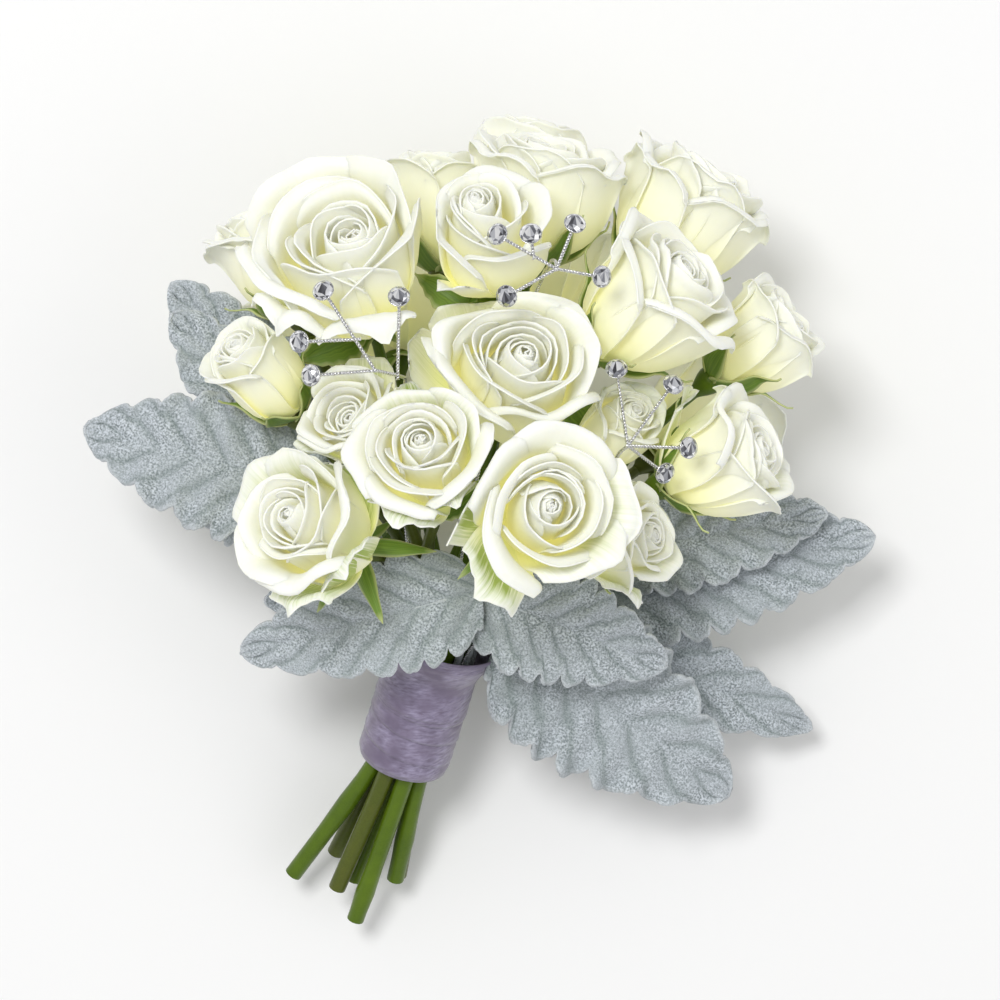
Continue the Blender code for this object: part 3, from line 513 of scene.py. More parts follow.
    def petal_sheet(self, form, s, t):
        """Points of one petal, which is cupped, laps over the next and rolls back along its rim."""
        o, width, phase = form["o"], self.width, form["phase"]
        share, radius, height, slope = self.midline(form)
        tip = form["tip"] * np.exp(-(((s - form["tip_at"]) / 0.24) ** 2))
        corner = (0.17 - 0.05 * o) * np.abs(s) ** 2.6
        reach = form["tall"] * t * (1 - 0.03 * o - corner + tip * smooth((t - 0.6) / 0.4))
        out = np.interp(reach, share, radius) * (1 + (form["lap"] + 0.20 * (1 - o) ** 1.5) * s)
        up = np.interp(reach, share, height)
        tilt = np.interp(reach, share, slope)
        full = 0.34 + 0.66 * np.sin(pi / 2 * np.clip(t / 0.74, 0, 1)) ** 0.9
        half = form.get("narrow", 1.0) * width * (0.205 + 0.15 * o) * full
        long = width * (0.74 + 0.10 * o)
        beside = 0.8 * np.maximum(np.abs(s) - 0.87, 0) * half * smooth((t - 0.3) / 0.4)
        past = np.hypot(np.maximum(t - 0.91, 0) * long, beside)
        bent = np.minimum(past / form["rim_r"], form["most_bent"])
        lost, away = np.sin(bent) - bent, 1 - np.cos(bent)
        out = out + form["rim_r"] * (lost * np.cos(tilt) + away * np.sin(tilt))
        up = up + form["rim_r"] * (lost * np.sin(tilt) - away * np.cos(tilt))
        cup = np.maximum(out, 0.02 * width) * (1.02 + 0.40 * o)
        angle = np.clip(s * half / cup, -2.9, 2.9)
        x, y = (out - cup) + cup * np.cos(angle), cup * np.sin(angle)
        back = form["roll"] * rolled_back(o, s, t)
        rim = smooth((t - 0.5) / 0.5)
        ripple = width * form["wave"] * rim * np.sin(1.7 * pi * s + phase)
        frill = np.sin(7.0 * s + phase) + 0.6 * np.sin(13.0 * s + 2 * phase)
        frill = width * form["frill"] * rim**3 * frill
        x = x + 0.16 * width * back + 0.6 * ripple * np.sin(2.1 * s + phase) + 0.7 * frill
        up = up - 0.08 * width * back + ripple + frill * np.cos(5.0 * s + phase)
        c, n = cos(form["turn"]), sin(form["turn"])
        return np.stack([c * x - n * y, n * x + c * y, up], -1)

    def shown_petals(self):
        """The forms of the petals that show: those of the solids, gathered into rings, the guard
        petals and the small petals of the heart."""
        draw = np.random.default_rng(100 + self.number)
        forms = []
        for form, share in zip(self.petals, OPENNESS):
            o = self.opened * min(max(share + draw.normal(0, 0.012), 0.0), 1.0)
            shown = dict(
                form,
                o=o,
                turn=form["turn"] + draw.normal(0, 0.16),
                tall=(1 + 0.03 * draw.normal(0, 1) * o) * SHORT.get(self.number, 1.0),
                closed=closing(o),
                lap=LAP + 0.05 * draw.uniform(0.2, 1.0),
                tip=o * draw.uniform(0.0, 0.06),
                tip_at=draw.uniform(-0.3, 0.3),
                wave=0.022 * o * draw.uniform(0.4, 1.3),
                frill=0.012 * o * FRILLED.get(self.number, 0.12),
                rim_r=draw.uniform(1.8, 4.4) * MM,
                most_bent=(0.35 + 1.05 * o) * draw.uniform(0.5, 1.25),
            )
            forms.append(shown)
        for degrees, dropped in GUARDS.get(self.number, ()):
            way = ROLL + radians(degrees)
            own = self.turn.transposed() @ Vector((cos(way), sin(way), 0))
            guard = dict(forms[16], o=1.0, turn=atan2(own.y, own.x), shut=-dropped, tip=0.12)
            guard.update(most_bent=0.9, frill=0.016, rim=draw.uniform(-50, -25))
            guard.update(narrow=draw.uniform(0.5, 0.68), tall=draw.uniform(0.82, 0.94))
            guard.update(phase=draw.uniform(0, 2 * pi))
            forms.append(guard)
        for number, share in () if self.number in HIDDEN else HEART_PETALS:
            o = self.opened * share
            turn = forms[number]["turn"] + 2.5 + draw.normal(0, 0.25)
            tall = forms[number]["tall"] * draw.uniform(0.97, 1.02)
            forms.append(dict(forms[number], o=o, turn=turn, tall=tall, closed=closing(o), inner=True))
        return forms

    def leant(self, points, form, t):
        """The heart of a bloom may lean to one side, and the petals round it follow less and less."""
        lean = np.array(HEARTS.get(self.number, (0.0, 0.0, 0.0))) * MM
        return points + spread((1 - form["o"]) * smooth(t.ravel() / 0.8), lean)


def closing(o):
    """How much more the petals of the heart lean in, in degrees."""
    return 16 * (1 - o) ** 4


def make_rose(bloom, look):
    blades = Blades()
    strength = GREEN.get(bloom.number, 0.0)
    for number, form in enumerate(bloom.shown_petals()):
        coarse = "inner" in form or bloom.number in HIDDEN
        s, t = grid(*(COARSE if coarse else FINE))
        s = s * (1.5 - 0.5 * s * s)
        points = bloom.placed(bloom.petal_sheet(form, s, t).reshape(-1, 3))
        points = bloom.squeezed(bloom.leant(points, form, t))
        green = 1.0 if "narrow" in form else 0.3 if number in (12, 15) else 0.0
        blades.add(points, s, t, age_or_shade=form["o"], green=green * strength)
    return finished(blades.object(bloom.name + "_petals", PETAL_SHEET, look), bloom.name)


# ---- Stems ----


def slot_place(slot, along):
    """A point of a stem in the bundle. The middle one leans on the lowest of the ring."""
    if slot is None:
        return at_handle(along, 0, 2 * STEM_R + SEAT - RING_R)
    return round_handle(along, RING_R, FIRST_STEM_ANGLE + slot * 360 / STEMS_ROUND)


def stem_plan(slot, cut_end, fork_past, bears, blooms, steps=3):
    """The points of a rose stem from its cut end to its fork, and of the branch to each bloom."""
    borne = [b for b in blooms if b.number in bears]
    way = sum(((b.base - at_handle(FOCUS_AT)).normalized() for b in borne), Vector()).normalized()
    bound = [slot_place(slot, along) for along in (-2 * MM, 10 * MM, RIBBON_TO)]
    fork = bound[-1] + (ALONG + way).normalized() * fork_past * MM
    across, out, along = (v * MM for v in cut_end)
    branches = []
    for bloom in borne:
        neck = bloom.base - bloom.facing * CALYX_LONG * 0.9
        start = fork - way * 3 * MM
        pull = (neck - start).length * 0.4
        branches.append((bloom, bezier((start, start + way * pull, neck - bloom.facing * pull, neck), steps)))
    return [at_handle(along, across, out), *bound, fork], branches


def bars_of(plans):
    """What blooms give way to: (one end, other end, radius, the bloom that it bears)."""
    bars = []
    for _, route, twigs in WIRES.values():
        pairs = [*zip(route, route[1:]), *twigs]
        bars += [(Vector(a) * MM, Vector(b) * MM, WIRE_R, None) for a, b in pairs]
    for stem, branches in plans.values():
        bars.append((stem[-2], stem[-1], STEM_R, None))
        for bloom, points in branches:
            bars += [(a, b, BRANCH_R, bloom) for a, b in zip(points, points[1:])]
            bars.append((points[-1], bloom.base, CALYX_R, bloom))
    return bars


# ---- Nodes ----


class Nodes:
    """A node tree while it is built."""

    def node(self, kind, links=(), **settings):
        """A node with its settings, and its inputs linked or set by name or number."""
        made = self.tree.nodes.new(kind)
        for key, value in settings.items():
            setattr(made, key, value)
        for key, value in dict(links).items():
            socket = made.inputs[key]
            if isinstance(value, bpy.types.NodeSocket):
                self.tree.links.new(value, socket)
            else:
                socket.default_value = (*value, 1) if socket.type == "RGBA" else value
        return made

    def math(self, operation, *values):
        return self.node("ShaderNodeMath", dict(enumerate(values)), operation=operation).outputs[0]

    def vector(self, operation, links):
        return self.node("ShaderNodeVectorMath", links, operation=operation).outputs[0]

    def parts(self, vector):
        """The first two parts of a vector."""
        return self.node("ShaderNodeSeparateXYZ", {0: vector}).outputs[:2]

    def ranged(self, value, a, b, low=0.0, high=1.0):
        """low where the value is a, and high where it is b."""
        ends = {"From Min": a, "From Max": b, "To Min": low, "To Max": high}
        return self.node("ShaderNodeMapRange", {"Value": value, **ends}).outputs[0]

    def mix(self, share, a, b):
        return self.node("ShaderNodeMix", {0: share, 6: a, 7: b}, data_type="RGBA").outputs[2]


class Group(Nodes):
    """A node group while it is built, with named inputs and outputs."""

    def __init__(self, name, kind, inputs, outputs):
        self.tree = bpy.data.node_groups.new(name, kind)
        self.sockets = {}
        for way, titles in (("OUTPUT", outputs), ("INPUT", inputs)):
            for title, form in titles.items():
                made = self.tree.interface.new_socket(title, in_out=way, socket_type="NodeSocket" + form)
                self.sockets[title] = made.identifier
        self.given = self.node("NodeGroupInput").outputs


class Tree(Group):
    """A Geometry Nodes tree while it is built."""

    def __init__(self, name, inputs):
        inputs = {"Geometry": "Geometry", **inputs, "Finish": "Material"}
        super().__init__(name, "GeometryNodeTree", inputs, {"Geometry": "Geometry"})

    def step(self, kind, links=(), **settings):
        """The first output of a geometry node."""
        return self.node("GeometryNode" + kind, links, **settings).outputs[0]

    def finish(self, geometry):
        """Ends the tree in Realize Instances and Set Material."""
        real = self.step("RealizeInstances", {0: geometry})
        dressed = self.step("SetMaterial", {"Geometry": real, "Material": self.given["Finish"]})
        self.node("NodeGroupOutput", {0: dressed})
        return self

    def run(self, obj, values):
        """Gives the object the tree with its inputs set, and makes the result plain mesh."""
        modifier = obj.modifiers.new(self.tree.name, "NODES")
        modifier.node_group = self.tree
        for title, value in values.items():
            modifier[self.sockets[title]] = value
        return applied(obj)


def round_bar_tree():
    """A bar that follows a line, as thick at each point as the line's own thickness there."""
    tree = Tree("round_bar", {"Sides": "Int"})
    thick = tree.step("InputNamedAttribute", {"Name": "thick"})
    line = tree.step("MeshToCurve", {"Mesh": tree.given["Geometry"]})
    ring = tree.step("CurvePrimitiveCircle", {"Resolution": tree.given["Sides"], "Radius": 1.0})
    bar = {"Curve": line, "Profile Curve": ring, "Scale": thick, "Fill Caps": True}
    return tree.finish(tree.step("SetShadeSmooth", {"Geometry": tree.step("CurveToMesh", bar)}))


def twisted_wire_tree():
    """Two thin strands twisted about the line that they follow."""
    tree = Tree("twisted_wire", {"Strand thickness": "Float", "Length of a twist": "Float"})
    twist = tree.given["Length of a twist"]
    line = tree.step("MeshToCurve", {"Mesh": tree.given["Geometry"]})
    pace = tree.math("DIVIDE", twist, 7.0)
    line = tree.step("ResampleCurve", {"Curve": line, "Length": pace}, mode="LENGTH")
    half = tree.math("MULTIPLY", tree.given["Strand thickness"], 0.5)
    gone = tree.node("GeometryNodeSplineParameter").outputs["Length"]
    turned = tree.math("MULTIPLY", tree.math("DIVIDE", gone, twist), 2 * pi)
    normal = tree.step("InputNormal")
    side = tree.vector("CROSS_PRODUCT", {0: tree.step("InputTangent"), 1: normal})
    ring = tree.step("CurvePrimitiveCircle", {"Resolution": 6, "Radius": half})
    join = tree.node("GeometryNodeJoinGeometry")
    for start in (0.0, pi):
        angle = tree.math("ADD", turned, start)
        offset = [
            tree.vector("SCALE", {0: way, "Scale": tree.math("MULTIPLY", tree.math(wave, angle), half)})
            for way, wave in ((normal, "COSINE"), (side, "SINE"))
        ]
        offset = tree.vector("ADD", dict(enumerate(offset)))
        strand = tree.step("SetPosition", {"Geometry": line, "Offset": offset})
        wire = tree.step("CurveToMesh", {"Curve": strand, "Profile Curve": ring, "Fill Caps": True})
        tree.tree.links.new(wire, join.inputs[0])
    return tree.finish(tree.step("SetShadeSmooth", {"Geometry": join.outputs[0]}))


def set_on_points_tree():
    """The same small part on each point, turned the way that the point faces."""
    tree = Tree("set_on_points", {"Part": "Object", "Seed": "Int"})
    facing = tree.step("InputNamedAttribute", {"Name": "facing"}, data_type="FLOAT_VECTOR")
    turn = tree.node("FunctionNodeAlignRotationToVector", {"Vector": facing}, axis="Z").outputs[0]
    part = tree.node("GeometryNodeObjectInfo", {"Object": tree.given["Part"]}).outputs["Geometry"]
    set_down = {"Points": tree.given["Geometry"], "Instance": part, "Rotation": turn}
    real = tree.step("RealizeInstances", {0: tree.step("InstanceOnPoints", set_down)})
    # A random value on each face, which the stones' finish turns into painted sparkle.
    chance = tree.node("FunctionNodeRandomValue", {"Seed": tree.given["Seed"]}, data_type="FLOAT").outputs[1]
    facets = {"Geometry": real, "Name": "facet", "Value": chance}
    return tree.finish(tree.step("StoreNamedAttribute", facets, data_type="FLOAT", domain="FACE"))


def line_object(name, ways, thick=None):
    """A mesh of bare edges along the ways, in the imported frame."""
    points, edges = [], []
    for way in ways:
        edges += [(len(points) + i, len(points) + i + 1) for i in range(len(way) - 1)]
        points += [p + MOVED for p in way]
    mesh = bpy.data.meshes.new(name)
    mesh.from_pydata(points, edges, [])
    if thick is not None:
        mesh.attributes.new("thick", "FLOAT", "POINT").data.foreach_set("value", sum(thick, []))
    return add_object(name, mesh)


# ---- Finishes ----


def mottle_group():
    """Soft or sharp grains of two tones. Grain is the size of a grain, Stretch squeezes it."""
    inputs = {"Place": "Vector", "Stretch": "Vector", "Grain": "Float", "Sharpness": "Float"}
    inputs.update(Dark="Color", Light="Color")
    group = Group("mottle", "ShaderNodeTree", inputs, {"Colour": "Color", "Height": "Float"})
    given = group.given
    place = group.vector("MULTIPLY", {0: given["Place"], 1: given["Stretch"]})
    fine = group.math("DIVIDE", 1.0, given["Grain"])
    noise = group.node("ShaderNodeTexNoise", {"Vector": place, "Scale": fine, "Detail": 2.0}).outputs[0]
    low = group.math("MULTIPLY", 0.5, given["Sharpness"])
    height = group.ranged(noise, low, group.math("SUBTRACT", 1.0, low))
    colour = group.mix(height, given["Dark"], given["Light"])
    group.node("NodeGroupOutput", {"Colour": colour, "Height": height})
    return group.tree


def rim_group():
    """How near a point is to the rim of its blade, from 0 inside to 1 at the rim."""
    group = Group("blade_rim", "ShaderNodeTree", {"Blade": "Vector", "Wide": "Float"}, {"Rim": "Float"})
    across, along = group.parts(group.given["Blade"])
    off = group.math("ABSOLUTE", group.math("SUBTRACT", across, 0.5))
    nearest = group.math("MINIMUM", group.math("SUBTRACT", 0.5, off), group.math("SUBTRACT", 1.0, along))
    group.node("NodeGroupOutput", {"Rim": group.ranged(nearest, 0.0, group.given["Wide"], 1.0, 0.0)})
    return group.tree


MOTTLE, RIM = mottle_group(), rim_group()


class Finish(Nodes):
    """A material while it is made: its tree and its Principled shader."""

    def __init__(self, name, roughness, **constants):
        self.material = bpy.data.materials.new(name)
        self.material.use_nodes = True
        self.tree = self.material.node_tree
        self.shader = self.tree.nodes["Principled BSDF"]
        for title, value in {"Roughness": roughness, **constants}.items():
            self.shader.inputs[title.replace("_", " ")].default_value = value

    def uv(self, name):
        return self.node("ShaderNodeUVMap", uv_map=name).outputs[0]

    def grains(self, grain, sharpness, place=None, stretch=(1, 1, 1), tones=((0, 0, 0), (1, 1, 1))):
        """The colour and height of a pattern of grains, by Object coordinates if no place is given."""
        if place is None:
            place = self.node("ShaderNodeTexCoord").outputs["Object"]
        links = {"Place": place, "Stretch": stretch, "Grain": grain, "Sharpness": sharpness}
        links.update(Dark=tones[0], Light=tones[1])
        return self.node("ShaderNodeGroup", links, node_tree=MOTTLE).outputs

    def rim(self, blade, wide):
        return self.node("ShaderNodeGroup", {"Blade": blade, "Wide": wide}, node_tree=RIM).outputs["Rim"]

    def ramp(self, share, *stops):
        """A colour that runs through the stops: each is a place, red, green and blue."""
        made = self.node("ShaderNodeValToRGB", {0: share})
        elements = made.color_ramp.elements
        for stop in stops[1:-1]:
            elements.new(stop[0])
        for element, (place, *colour) in zip(elements, stops):
            element.position, element.color = place, (*colour, 1)
        return made.outputs[0]

    def tint(self, share, strength, tone):
        """Brings the base colour nearer to the tone."""
        self.base = self.mix(self.math("MULTIPLY", share, strength), self.base, tone)

    def shade(self, title, socket):
        self.tree.links.new(socket, self.shader.inputs[title])

    def done(self, height=None, deep=0.0, strength=1.0):
        """Gives the shader its base colour and its relief, and returns the material."""
        self.shade("Base Color", self.base)
        if height is not None:
            bump = self.node("ShaderNodeBump", {"Height": height, "Distance": deep, "Strength": strength})
            self.shade("Normal", bump.outputs[0])
        return self.material


def petal_finish():
    """White petals: golden deep in the bloom, cream on the way up and white along the rim. The
    guard petals outside have green along the middle. A painted light from within, golden deep
    in the bloom, lifts the shade between the petals."""
    under_skin = dict(Subsurface_Weight=0.3, Subsurface_Radius=(1.0, 0.9, 0.6), Subsurface_Scale=1.2 * MM)
    # The emission is painted light that lifts the shade between the petals.
    finish = Finish("white_petal", 0.6, Emission_Strength=0.15, **under_skin)
    blade = finish.uv("blade")
    up = finish.parts(blade)[1]
    age_or_shade, greenness = finish.parts(finish.uv("kind"))
    heart = (0.45, 0.92, 0.87, 0.36), (0.74, 0.94, 0.92, 0.59)
    heart += (0.88, 0.94, 0.935, 0.76), (0.97, 0.93, 0.935, 0.86)
    outer = (0.08, 0.66, 0.72, 0.24), (0.34, 0.90, 0.90, 0.57)
    outer += (0.62, 0.94, 0.94, 0.77), (0.92, 0.925, 0.935, 0.87)
    finish.base = finish.mix(age_or_shade, finish.ramp(up, *heart), finish.ramp(up, *outer))
    veins = finish.grains(0.35, 0.5, blade, (14.0, 0.6, 1.0))["Height"]
    finish.tint(veins, 0.06, (0.66, 0.68, 0.42))
    finish.tint(finish.grains(7 * MM, 0.4)["Height"], 0.08, (0.86, 0.88, 0.70))
    inside = finish.math("SUBTRACT", 1.0, finish.rim(blade, 0.33))
    green = finish.math("MULTIPLY", finish.math("MULTIPLY", inside, greenness), veins)
    finish.tint(green, 3.0, (0.33, 0.45, 0.06))
    # Painted light: an emission, golden deep in the bloom and faint at the rim, that stands in for light
    # through the petals.
    painted_glow = finish.mix(finish.ranged(up, 0.92, 0.35), (0.18, 0.18, 0.15), (1.0, 0.95, 0.52))
    finish.shade("Emission Color", painted_glow)
    return finish.done(veins, 0.05 * MM, 0.3)


def leaf_finish():
    """Felted leaves: grey-blue fibres over dark green, greener at the root, with painted shade in
    the grooves of the veins and the hollows between them, and pale rims."""
    finish = Finish("silver_felt", 0.9, Sheen_Weight=0.2, Sheen_Roughness=0.6)
    blade = finish.uv("blade")
    felt = finish.grains(0.62 * MM, 0.74, tones=((0.20, 0.235, 0.245), (0.68, 0.73, 0.79)))
    fine = finish.grains(0.30 * MM, 0.7, tones=((0.27, 0.31, 0.325), (0.64, 0.69, 0.745)))
    patches = finish.grains(9 * MM, 0.6)["Height"]
    finish.base = felt["Colour"]
    finish.tint(patches, 0.75, fine["Colour"])
    finish.tint(finish.ranged(finish.parts(blade)[1], 0.0, 0.45, 0.55, 0.0), patches, (0.12, 0.15, 0.11))
    # Painted shade: darker green-grey where the blade is grooved or sunk.
    finish.tint(finish.parts(finish.uv("kind"))[0], 0.45, (0.14, 0.19, 0.17))
    finish.tint(finish.rim(blade, 0.045), 0.6, (0.66, 0.70, 0.73))
    return finish.done(felt["Height"], 0.22 * MM, 0.8)


def green_finish(name, bright, dull):
    """Fresh rose stems and calyx cups, of two tones that run into each other."""
    finish = Finish(name, 0.34, Specular_IOR_Level=0.35)
    broad, flecks, fine = (finish.grains(grain * MM, 0.5)["Height"] for grain in (22, 3.0, 0.5))
    finish.base = finish.mix(broad, bright, dull)
    finish.tint(flecks, 0.25, (0.030, 0.058, 0.003))
    finish.tint(fine, 0.18, (0.16, 0.23, 0.02))
    return finish.done(fine, 0.08 * MM, 0.5)


def sepal_finish():
    """Sepals: mid green with paler streaks along their length, and cream along the rim."""
    finish = Finish("sepal_green", 0.5, Subsurface_Weight=0.1, Subsurface_Scale=1 * MM)
    blade = finish.uv("blade")
    tones = (0.075, 0.160, 0.012), (0.21, 0.33, 0.04)
    veins = finish.grains(0.5, 0.5, blade, (9.0, 0.7, 1.0), tones)
    finish.base = veins["Colour"]
    finish.tint(finish.rim(blade, 0.16), 0.8, (0.62, 0.66, 0.32))
    return finish.done(veins["Height"], 0.1 * MM, 0.5)


def satin_finish():
    """Mauve satin with painted shade in soft creases along the strip and patches of short,
    slanting painted highlights.
    """
    finish = Finish("mauve_satin", 0.33, Sheen_Weight=0.15)
    strip = {"Vector": finish.uv("strip"), "Angle": radians(20)}
    slant = finish.node("ShaderNodeVectorRotate", strip, rotation_type="Z_AXIS").outputs[0]
    folds_with_painted_shade = finish.grains(1.0, 0.4, slant, (60.0, 330.0, 1.0))["Height"]
    crinkles = finish.grains(1.0, 0.6, slant, (380.0, 1150.0, 1.0))["Height"]
    painted_glints = finish.math("MULTIPLY", crinkles, finish.grains(8 * MM, 0.7)["Height"])
    tones = (0.135, 0.108, 0.172), (0.215, 0.175, 0.262)
    finish.base = finish.grains(5 * MM, 0.3, tones=tones)["Colour"]
    # Painted shade in the creases, and painted highlights in the glint patches.
    finish.tint(folds_with_painted_shade, 0.16, (0.085, 0.068, 0.110))
    finish.tint(painted_glints, 0.65, (0.46, 0.42, 0.60))
    return finish.done(finish.math("ADD", painted_glints, folds_with_painted_shade), 0.22 * MM, 0.7)


def tape_finish():
    """Green crepe tape, stretched and waxy."""
    finish = Finish("green_tape", 0.6)
    tones = (0.04, 0.10, 0.03), (0.11, 0.22, 0.08)
    crepe = finish.grains(1.0, 0.5, finish.uv("strip"), (1400.0, 160.0, 1.0), tones)
    finish.base = crepe["Colour"]
    return finish.done(crepe["Height"], 0.12 * MM, 0.7)


def silver_finish():
    """Bright silver wire, a little uneven."""
    finish = Finish("silver_wire", 0.22, Metallic=1.0)
    worn = finish.grains(0.8 * MM, 0.5, tones=((0.55, 0.55, 0.56), (0.86, 0.86, 0.87)))
    finish.shade("Roughness", finish.ranged(worn["Height"], 0.0, 1.0, 0.14, 0.34))
    finish.base = worn["Colour"]
    return finish.done()


def stone_finish():
    """Cut stones on silver foil: each flat face has a painted brightness, from dark to white, that stands in
    for its sparkle.
    """
    finish = Finish("cut_stone", 0.04, Metallic=0.85, Coat_Weight=1.0, Coat_Roughness=0.02)
    # Painted reflection: a random brightness on each face of the stone.
    facet = finish.node("ShaderNodeAttribute", attribute_name="facet").outputs["Fac"]
    dark = (0.0, 0.04, 0.04, 0.05), (0.35, 0.30, 0.31, 0.35)
    finish.base = finish.ramp(facet, *dark, (0.6, 0.75, 0.76, 0.80), (1.0, 1.0, 1.0, 1.0))
    return finish.done()


# ---- Stems, calyx cups and sepals ----


def circle(radius, height, count, shift=0.0):
    angles = [2 * pi * (i + shift) / count for i in range(count)]
    return [Vector((radius * cos(a), radius * sin(a), height)) for a in angles]


def turned(name, profile, place, turn, sides, look):
    """A closed shape turned round its own axis from (radius, height) pairs, pole to pole."""
    shape = bmesh.new()
    rings = [circle(radius, height, sides if radius else 1) for radius, height in profile]
    rings = [[shape.verts.new(place + turn @ p) for p in ring] for ring in rings]
    for low, high in zip(rings, rings[1:]):
        for i in range(sides):
            j = (i + 1) % sides
            corners = [low[i % len(low)], low[j % len(low)], high[j % len(high)], high[i % len(high)]]
            shape.faces.new(list(dict.fromkeys(corners))).smooth = True
    bmesh.ops.recalc_face_normals(shape, faces=shape.faces)
    return from_shape(name, shape, look)


CUP_PROFILE = ((0, -9.0), (1.7, -8.8), (2.1, -7.8), (3.1, -6.0), (3.9, -4.2))
CUP_PROFILE += ((4.35, -2.6), (4.3, -1.2), (3.4, -0.4), (0, -0.3))


def calyx_cup(bloom, look):
    profile = [(r * MM, h * MM) for r, h in CUP_PROFILE]
    return turned("cup", profile, bloom.base + MOVED, bloom.turn, 16, look)


def hugging_sepals(bloom, blades):
    """Sepals that lie along the outside of a bloom, with their thin tips curled away from it."""
    draw = np.random.default_rng(400 + bloom.number)
    share, radius, height, slope = bloom.midline(dict(bloom.petals[-1], shut=0.0, rim=0.0))
    s, t = grid(6, 16)
    for degrees in SEPALS:
        turn = radians(degrees + draw.uniform(-12, 12))
        reach = draw.uniform(0.42, 0.60) * t
        tilt = np.interp(reach, share, slope)
        off = 0.9 * MM + 9 * MM * draw.uniform(0.3, 1.0) * smooth((t - 0.62) / 0.38) ** 1.5
        out = np.interp(reach, share, radius) + off * np.sin(tilt)
        up = np.interp(reach, share, height) - off * np.cos(tilt) - 1.0 * MM * (1 - t)
        half = 3.9 * MM * np.sin(pi * np.clip(t + 0.16, 0, 1) ** 0.9) ** 0.8
        half = half * (1 + 0.12 * np.sin(8 * t + draw.uniform(0, 6)))
        half = np.maximum(half, 0.25 * MM) + 0.4 * MM * (1 - t)
        sway = draw.uniform(-0.25, 0.25) * t**1.5
        angle = turn + sway + s * half / np.maximum(out, 3 * MM)
        out = out + 0.35 * half * np.abs(s) ** 1.5
        points = np.stack([out * np.cos(angle), out * np.sin(angle), up], -1).reshape(-1, 3)
        blades.add(bloom.squeezed(bloom.placed(points), 0.5 * MM), s, t, green=draw.uniform(0, 1))


def open_sepals(bloom, blades):
    """The five sepals of a bloom that stand free, on the same lines as in the solids."""
    long = (0.30 if bloom.number in LONG_SEPALS else 0.20) * bloom.width + 7 * MM
    rim_r = CALYX_R * cos(pi / 5)

    def lines(middle, out, droop, curl, reach):
        bend = middle + (out * cos(droop) + UP * sin(droop)) * reach * 0.45
        return bend, bend + (out * cos(curl) + UP * sin(curl)) * reach * 0.55

    def free(point):
        placed = np.array(bloom.base + bloom.turn @ point)
        return all((at - placed) @ normal > 2.8 * MM for normal, at in bloom.walls)

    draw = np.random.default_rng(200 + bloom.number)
    s, t = grid(6, 12)
    for degrees in SEPALS:
        out = Vector((cos(radians(degrees)), sin(radians(degrees)), 0))
        middle = out * rim_r + UP * (-0.5 * MM - SEAT)
        droop = radians(bloom.draws.uniform(-38, -6))
        curl = droop + radians(bloom.draws.uniform(-10, 20))
        reach = long
        while reach > 0.4 * long and not all(free(p) for p in lines(middle, out, droop, curl, reach)):
            if droop > radians(-62):
                droop, curl = droop - radians(6), curl - radians(6)
            else:
                reach *= 0.9
        bend, end = lines(middle, out, droop, curl, reach)
        root = middle - out * 0.8 * MM + UP * -0.6 * MM
        side = Vector((-out.y, out.x, 0))
        up = (end - root).normalized().cross(side) * -1
        half = 3.1 * MM * (1 - t) ** 0.8 * (1 + 0.7 * t) * (1 + 0.10 * np.sin(9 * t + draw.uniform(0, 6)))
        lean = draw.uniform(-0.5, 0.5) * t**1.5
        pull = bend * 1.3 - (root + end) * 0.15
        line = spread((1 - t) ** 2, root) + spread(2 * t * (1 - t), pull) + spread(t**2, end)
        wide = spread(np.cos(lean), side) + spread(np.sin(lean), up)
        points = line + wide * (s * half)[..., None] + spread(0.35 * half * np.abs(s) ** 1.5, up)
        points = bloom.pressed(bloom.placed(points.reshape(-1, 3)))
        blades.add(points, s, t, green=draw.uniform(0, 1))


def leaf_frame(root, tip):
    """The way along a leaf, across it and out of its face."""
    along = tip - root
    side = along.cross(UP).normalized()
    return along, side, side.cross(along).normalized()


def leaflet(blades, root, tip, wide):
    """A small leaf of the rose itself, pointed, toothed and folded along its rib."""
    s, t = grid(8, 28)
    along, side, up = leaf_frame(root, tip)
    half = wide / 2 * np.sin(pi * np.clip(t + 0.03, 0, 1) ** 0.85) ** 0.9 * (1 + 0.08 * np.sin(44 * t))
    half = np.maximum(half, 0.3 * MM)
    rise = 0.35 * np.abs(s) * half + 0.10 * along.length * np.sin(pi * t)
    blades.add(np.array(root) + spread(t, along) + spread(s * half, side) + spread(rise, up), s, t)


def make_stem(name, facts, blooms, bar, green, sepal_green):
    """A stem with its branches as round bars, and the cup and sepals under each bloom."""
    stem, branches = stem_plan(*facts, blooms, steps=14)
    ways = [rounded(stem)]
    length = len(ways[0]) - 1
    thick = [[STEM_R * (1.0 - 0.15 * max(0, i / length - 0.7) / 0.3) for i in range(length + 1)]]
    if name in KNOTS:
        thick[0][max(1, round(KNOTS[name] * length))] *= KNOT_SWELL
    blades, cups = Blades(), []
    for bloom, points in branches:
        ways.append(points)
        last = len(points) - 1
        swell = [BRANCH_R * (1 - 0.15 * i / last) for i in range(last + 1)]
        thick.append([r * (1 + 0.05 * sin(1.9 * i)) for i, r in enumerate(swell)])
        cups.append(calyx_cup(bloom, green))
        (hugging_sepals if bloom.number in HUGGED else open_sepals)(bloom, blades)
        if bloom.number in LEAFLETS:
            share, tip, wide = LEAFLETS[bloom.number]
            leaflet(blades, points[round(share * last)], Vector(tip) * MM, wide * MM)
    bars = bar.run(line_object("bars", ways, thick), {"Sides": 14, "Finish": green})
    sepals = blades.object("sepals", SEPAL_SHEET, sepal_green)
    return finished(joined(name + "_green", [bars, *cups, sepals]), name)


# ---- Leaves ----


